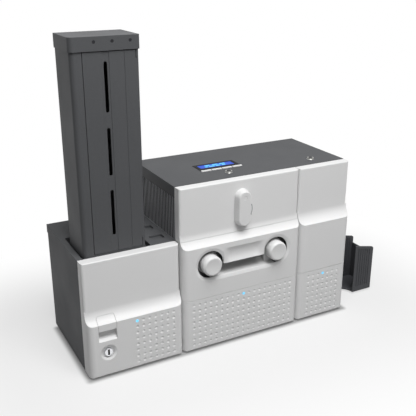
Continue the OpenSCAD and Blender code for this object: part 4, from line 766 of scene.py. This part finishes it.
left_touch = leave_point(supply_x, supply_r + SLACK, bar_left, 1)
right_touch = leave_point(takeup_x, takeup_r + SLACK, bar_right, -1)
path = (inward(*left_touch, bar_left, web_z, -SLACK)
        + inward(bar_left, web_z, bar_right, web_z, 0.0, 4)[1:]
        + inward(bar_right, web_z, *right_touch, -SLACK)[1:])
shape = bmesh.new()
across = 5
grid = [[shape.verts.new((x, film_low.y + (film_high.y - film_low.y) * j / across, z))
         for j in range(across + 1)] for x, z in path]
for row, after in zip(grid, grid[1:]):
    for j in range(across):
        shape.faces.new((row[j], row[j + 1], after[j + 1], after[j]))
FINISHES["panel_film"] = panel_film("panel_film", (0.8, 0.0, 0.6))
film = finished("ribbon_strip", mesh_of("ribbon_strip", shape), "ribbon_film", "panel_film")
thick = film.modifiers.new("film thickness", "SOLIDIFY")
thick.thickness, thick.offset = FILM_T, 0
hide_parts("ribbon_film")
print("film strip points:", len(path))

# %% [markdown]
# A roll of ribbon is not a smooth cylinder. Its turns never end quite level, so the two side
# faces step in and out by a fraction of a millimetre. Each roll is turned from a profile whose
# side faces carry those small steps.

# %% Rolls
CORE_GAP_R, STEP_D = 0.00805, 0.00025


def wound_roll(name, node_name, x, radius, low_y, high_y, turns):
    """A roll of film: turned from a profile whose side faces step in and out."""
    turn_w = (radius - CORE_GAP_R) / turns
    steps = [(CORE_GAP_R, 0.0)]
    for i in range(1, turns + 1):
        r_here = CORE_GAP_R + turn_w * i
        dip = STEP_D * (0.5 + 0.5 * math.sin(i * 2.4))
        steps += [(r_here - turn_w * 0.4, dip), (r_here, dip * 0.6)]
    profile = [(r_here, low_y + dip) for r_here, dip in steps]
    profile += [(r_here, high_y - dip) for r_here, dip in reversed(steps)]
    shape = bmesh.new()
    swept(shape, profile, x, reel_z, 64)
    FINISHES[name] = wound_film(name, x, reel_z)
    piece = solid(name, shape, node_name, name)
    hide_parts(node_name)


wound_roll("supply_winding", "supply_roll", supply_x, supply_r, supply_low.y, supply_high.y, 22)
wound_roll("takeup_winding", "takeup_roll", takeup_x, takeup_r, takeup_low.y, takeup_high.y, 9)
print("rolls wound:", 2)

# %% [markdown]
# The circuit board carries small parts that the CAD model leaves out: pale plug housings along
# its back edge and two rows of tiny resistors. They are plates on the board's top.

# %% Parts on the board
FINISHES["plug_plastic"] = grained("plug_plastic", srgb(226, 222, 206), 0.03, 0.4, 0.0004, 0.00003)
board_low, board_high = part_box("circuit_board")
CHIP_RISE = 0.003
PLUGS, PLUG_PITCH, PLUG_W, PLUG_D, PLUG_H = 6, 0.024, 0.014, 0.006, 0.0025
RESISTORS, RESISTOR_PITCH, RESISTOR_W, RESISTOR_D, RESISTOR_H = 14, 0.0105, 0.0036, 0.0018, 0.0007
ROW_PITCH, BACK_MARGIN = 0.009, 0.004
board_top, plug_y = board_high.z - CHIP_RISE, board_high.y - BACK_MARGIN
housings, tiny = [], []
for i in range(PLUGS):
    x = board_low.x + 0.022 + i * PLUG_PITCH
    housings.append(rounded(x, plug_y - PLUG_D, x + PLUG_W, plug_y, 0.0006, 2))
for i in range(RESISTORS):
    for j in range(2):
        x, y = board_low.x + 0.02 + i * RESISTOR_PITCH, board_low.y + 0.036 + j * ROW_PITCH
        tiny.append(rounded(x, y, x + RESISTOR_W, y + RESISTOR_D, 0.0002, 1))
plates("board_plugs", housings, board_top, board_top + PLUG_H, ON_TOP, "circuit_board",
       "plug_plastic", 0.0002)
plates("board_resistors", tiny, board_top, board_top + RESISTOR_H, ON_TOP, "circuit_board",
       "black_plastic")
print("board plugs and resistors:", len(housings), len(tiny))

# %% [markdown]
# The machine was photographed on a white sweep: the ground runs up into the backdrop without
# an edge, and all that remains of it is the soft shadow round the feet. The floor here glows
# just enough to reach white where nothing shades it, less in the last centimetre before the
# machine, where a painted shadow adds to the real one, and turns fully white further out. All
# of this is for rays from the camera, mirror rays and rays through glass; as a source of light
# the floor and the backdrop stay dull.

# %% Ground and backdrop
FOOT_FRONT, SHADE_W, SHADE_GLOW, NEAR_GLOW = -0.088, 0.011, 0.12, 0.6
FADE_START, FADE_END, SKY_LIGHT = 0.08, 0.34, 0.18
PURE_WHITE = (1.0, 1.0, 1.0, 1.0)


def seen_directly(r):
    """1 for rays from the camera, mirror rays and rays through glass, 0 for stray light."""
    rays = r.add("ShaderNodeLightPath").outputs
    seen = r.math("MAXIMUM", rays["Is Camera Ray"], rays["Is Glossy Ray"])
    return r.math("MAXIMUM", seen, rays["Is Transmission Ray"])


def matt(r, level):
    return r.add("ShaderNodeBsdfDiffuse", {"Color": (level, level, level, 1.0)}).outputs["BSDF"]


def white_glow(r, strength):
    return r.add("ShaderNodeEmission", {"Color": PURE_WHITE,
                 "Strength": strength}).outputs["Emission"]


def mixed(r, share, low, high):
    return r.add("ShaderNodeMixShader", {0: share, 1: low, 2: high}).outputs["Shader"]


shape = bmesh.new()
bmesh.ops.create_grid(shape, x_segments=2, y_segments=2, size=6.0)
floor = bpy.data.objects.new("floor", mesh_of("floor", shape))
scene.collection.objects.link(floor)

r = Recipe("sweep")
left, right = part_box("hopper_case")[0].x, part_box("output_side_panel")[1].x
apart = r.vector("ABSOLUTE", r.vector("SUBTRACT", r.place(), ((left + right) / 2, 0.0, 0.0)))
apart = r.vector("SUBTRACT", apart, ((right - left) / 2, -FOOT_FRONT, 0.0))
reach = r.vector("LENGTH", r.vector("MAXIMUM", apart, (0, 0, 0)), output="Value")
# Painted shadow: within SHADE_W of the machine's foot the floor glows less.
lift = r.ramp(reach, 0.0, SHADE_W, SHADE_GLOW, NEAR_GLOW, "SMOOTHSTEP")
near = r.add("ShaderNodeAddShader", {0: matt(r, 0.26), 1: white_glow(r, lift)}).outputs["Shader"]
fade = r.ramp(reach, FADE_START, FADE_END, kind="SMOOTHSTEP")
sweep = mixed(r, fade, near, white_glow(r, 1.0))
floor.data.materials.append(r.shade(mixed(r, seen_directly(r), matt(r, 0.3), sweep)))

r = Recipe("world", bpy.data.worlds.new("world"), "ShaderNodeOutputWorld")
strength = r.ramp(seen_directly(r), 0.0, 1.0, SKY_LIGHT, 1.0)
scene.world = r.shade(r.add("ShaderNodeBackground", {"Color": PURE_WHITE,
                      "Strength": strength}).outputs["Background"])
print("floor size:", [round(v, 1) for v in floor.dimensions])

# %% [markdown]
# Soft light comes mostly from above and in front, so the ledges and the top read brighter than
# the fronts. A weaker panel further out lifts the white covers, and a faint one at the back
# left gives the far sides some shape. None of them stands where the dark top would mirror it.

# %% Lights
AIM = Vector((0.0, 0.0, 0.2))


def softbox(name, at, size, power):
    data = bpy.data.lights.new(name, "AREA")
    data.shape, data.size, data.energy = "SQUARE", size, power
    lamp = bpy.data.objects.new(name, data)
    lamp.location = at
    lamp.rotation_mode = "QUATERNION"
    lamp.rotation_quaternion = (AIM - Vector(at)).to_track_quat("-Z", "Y")
    scene.collection.objects.link(lamp)


softbox("overhead", (-0.08, -0.75, 1.75), 1.0, 29)
softbox("front", (0.05, -1.4, 1.75), 1.0, 10)
softbox("back", (-1.3, 1.9, 0.9), 1.4, 3.5)
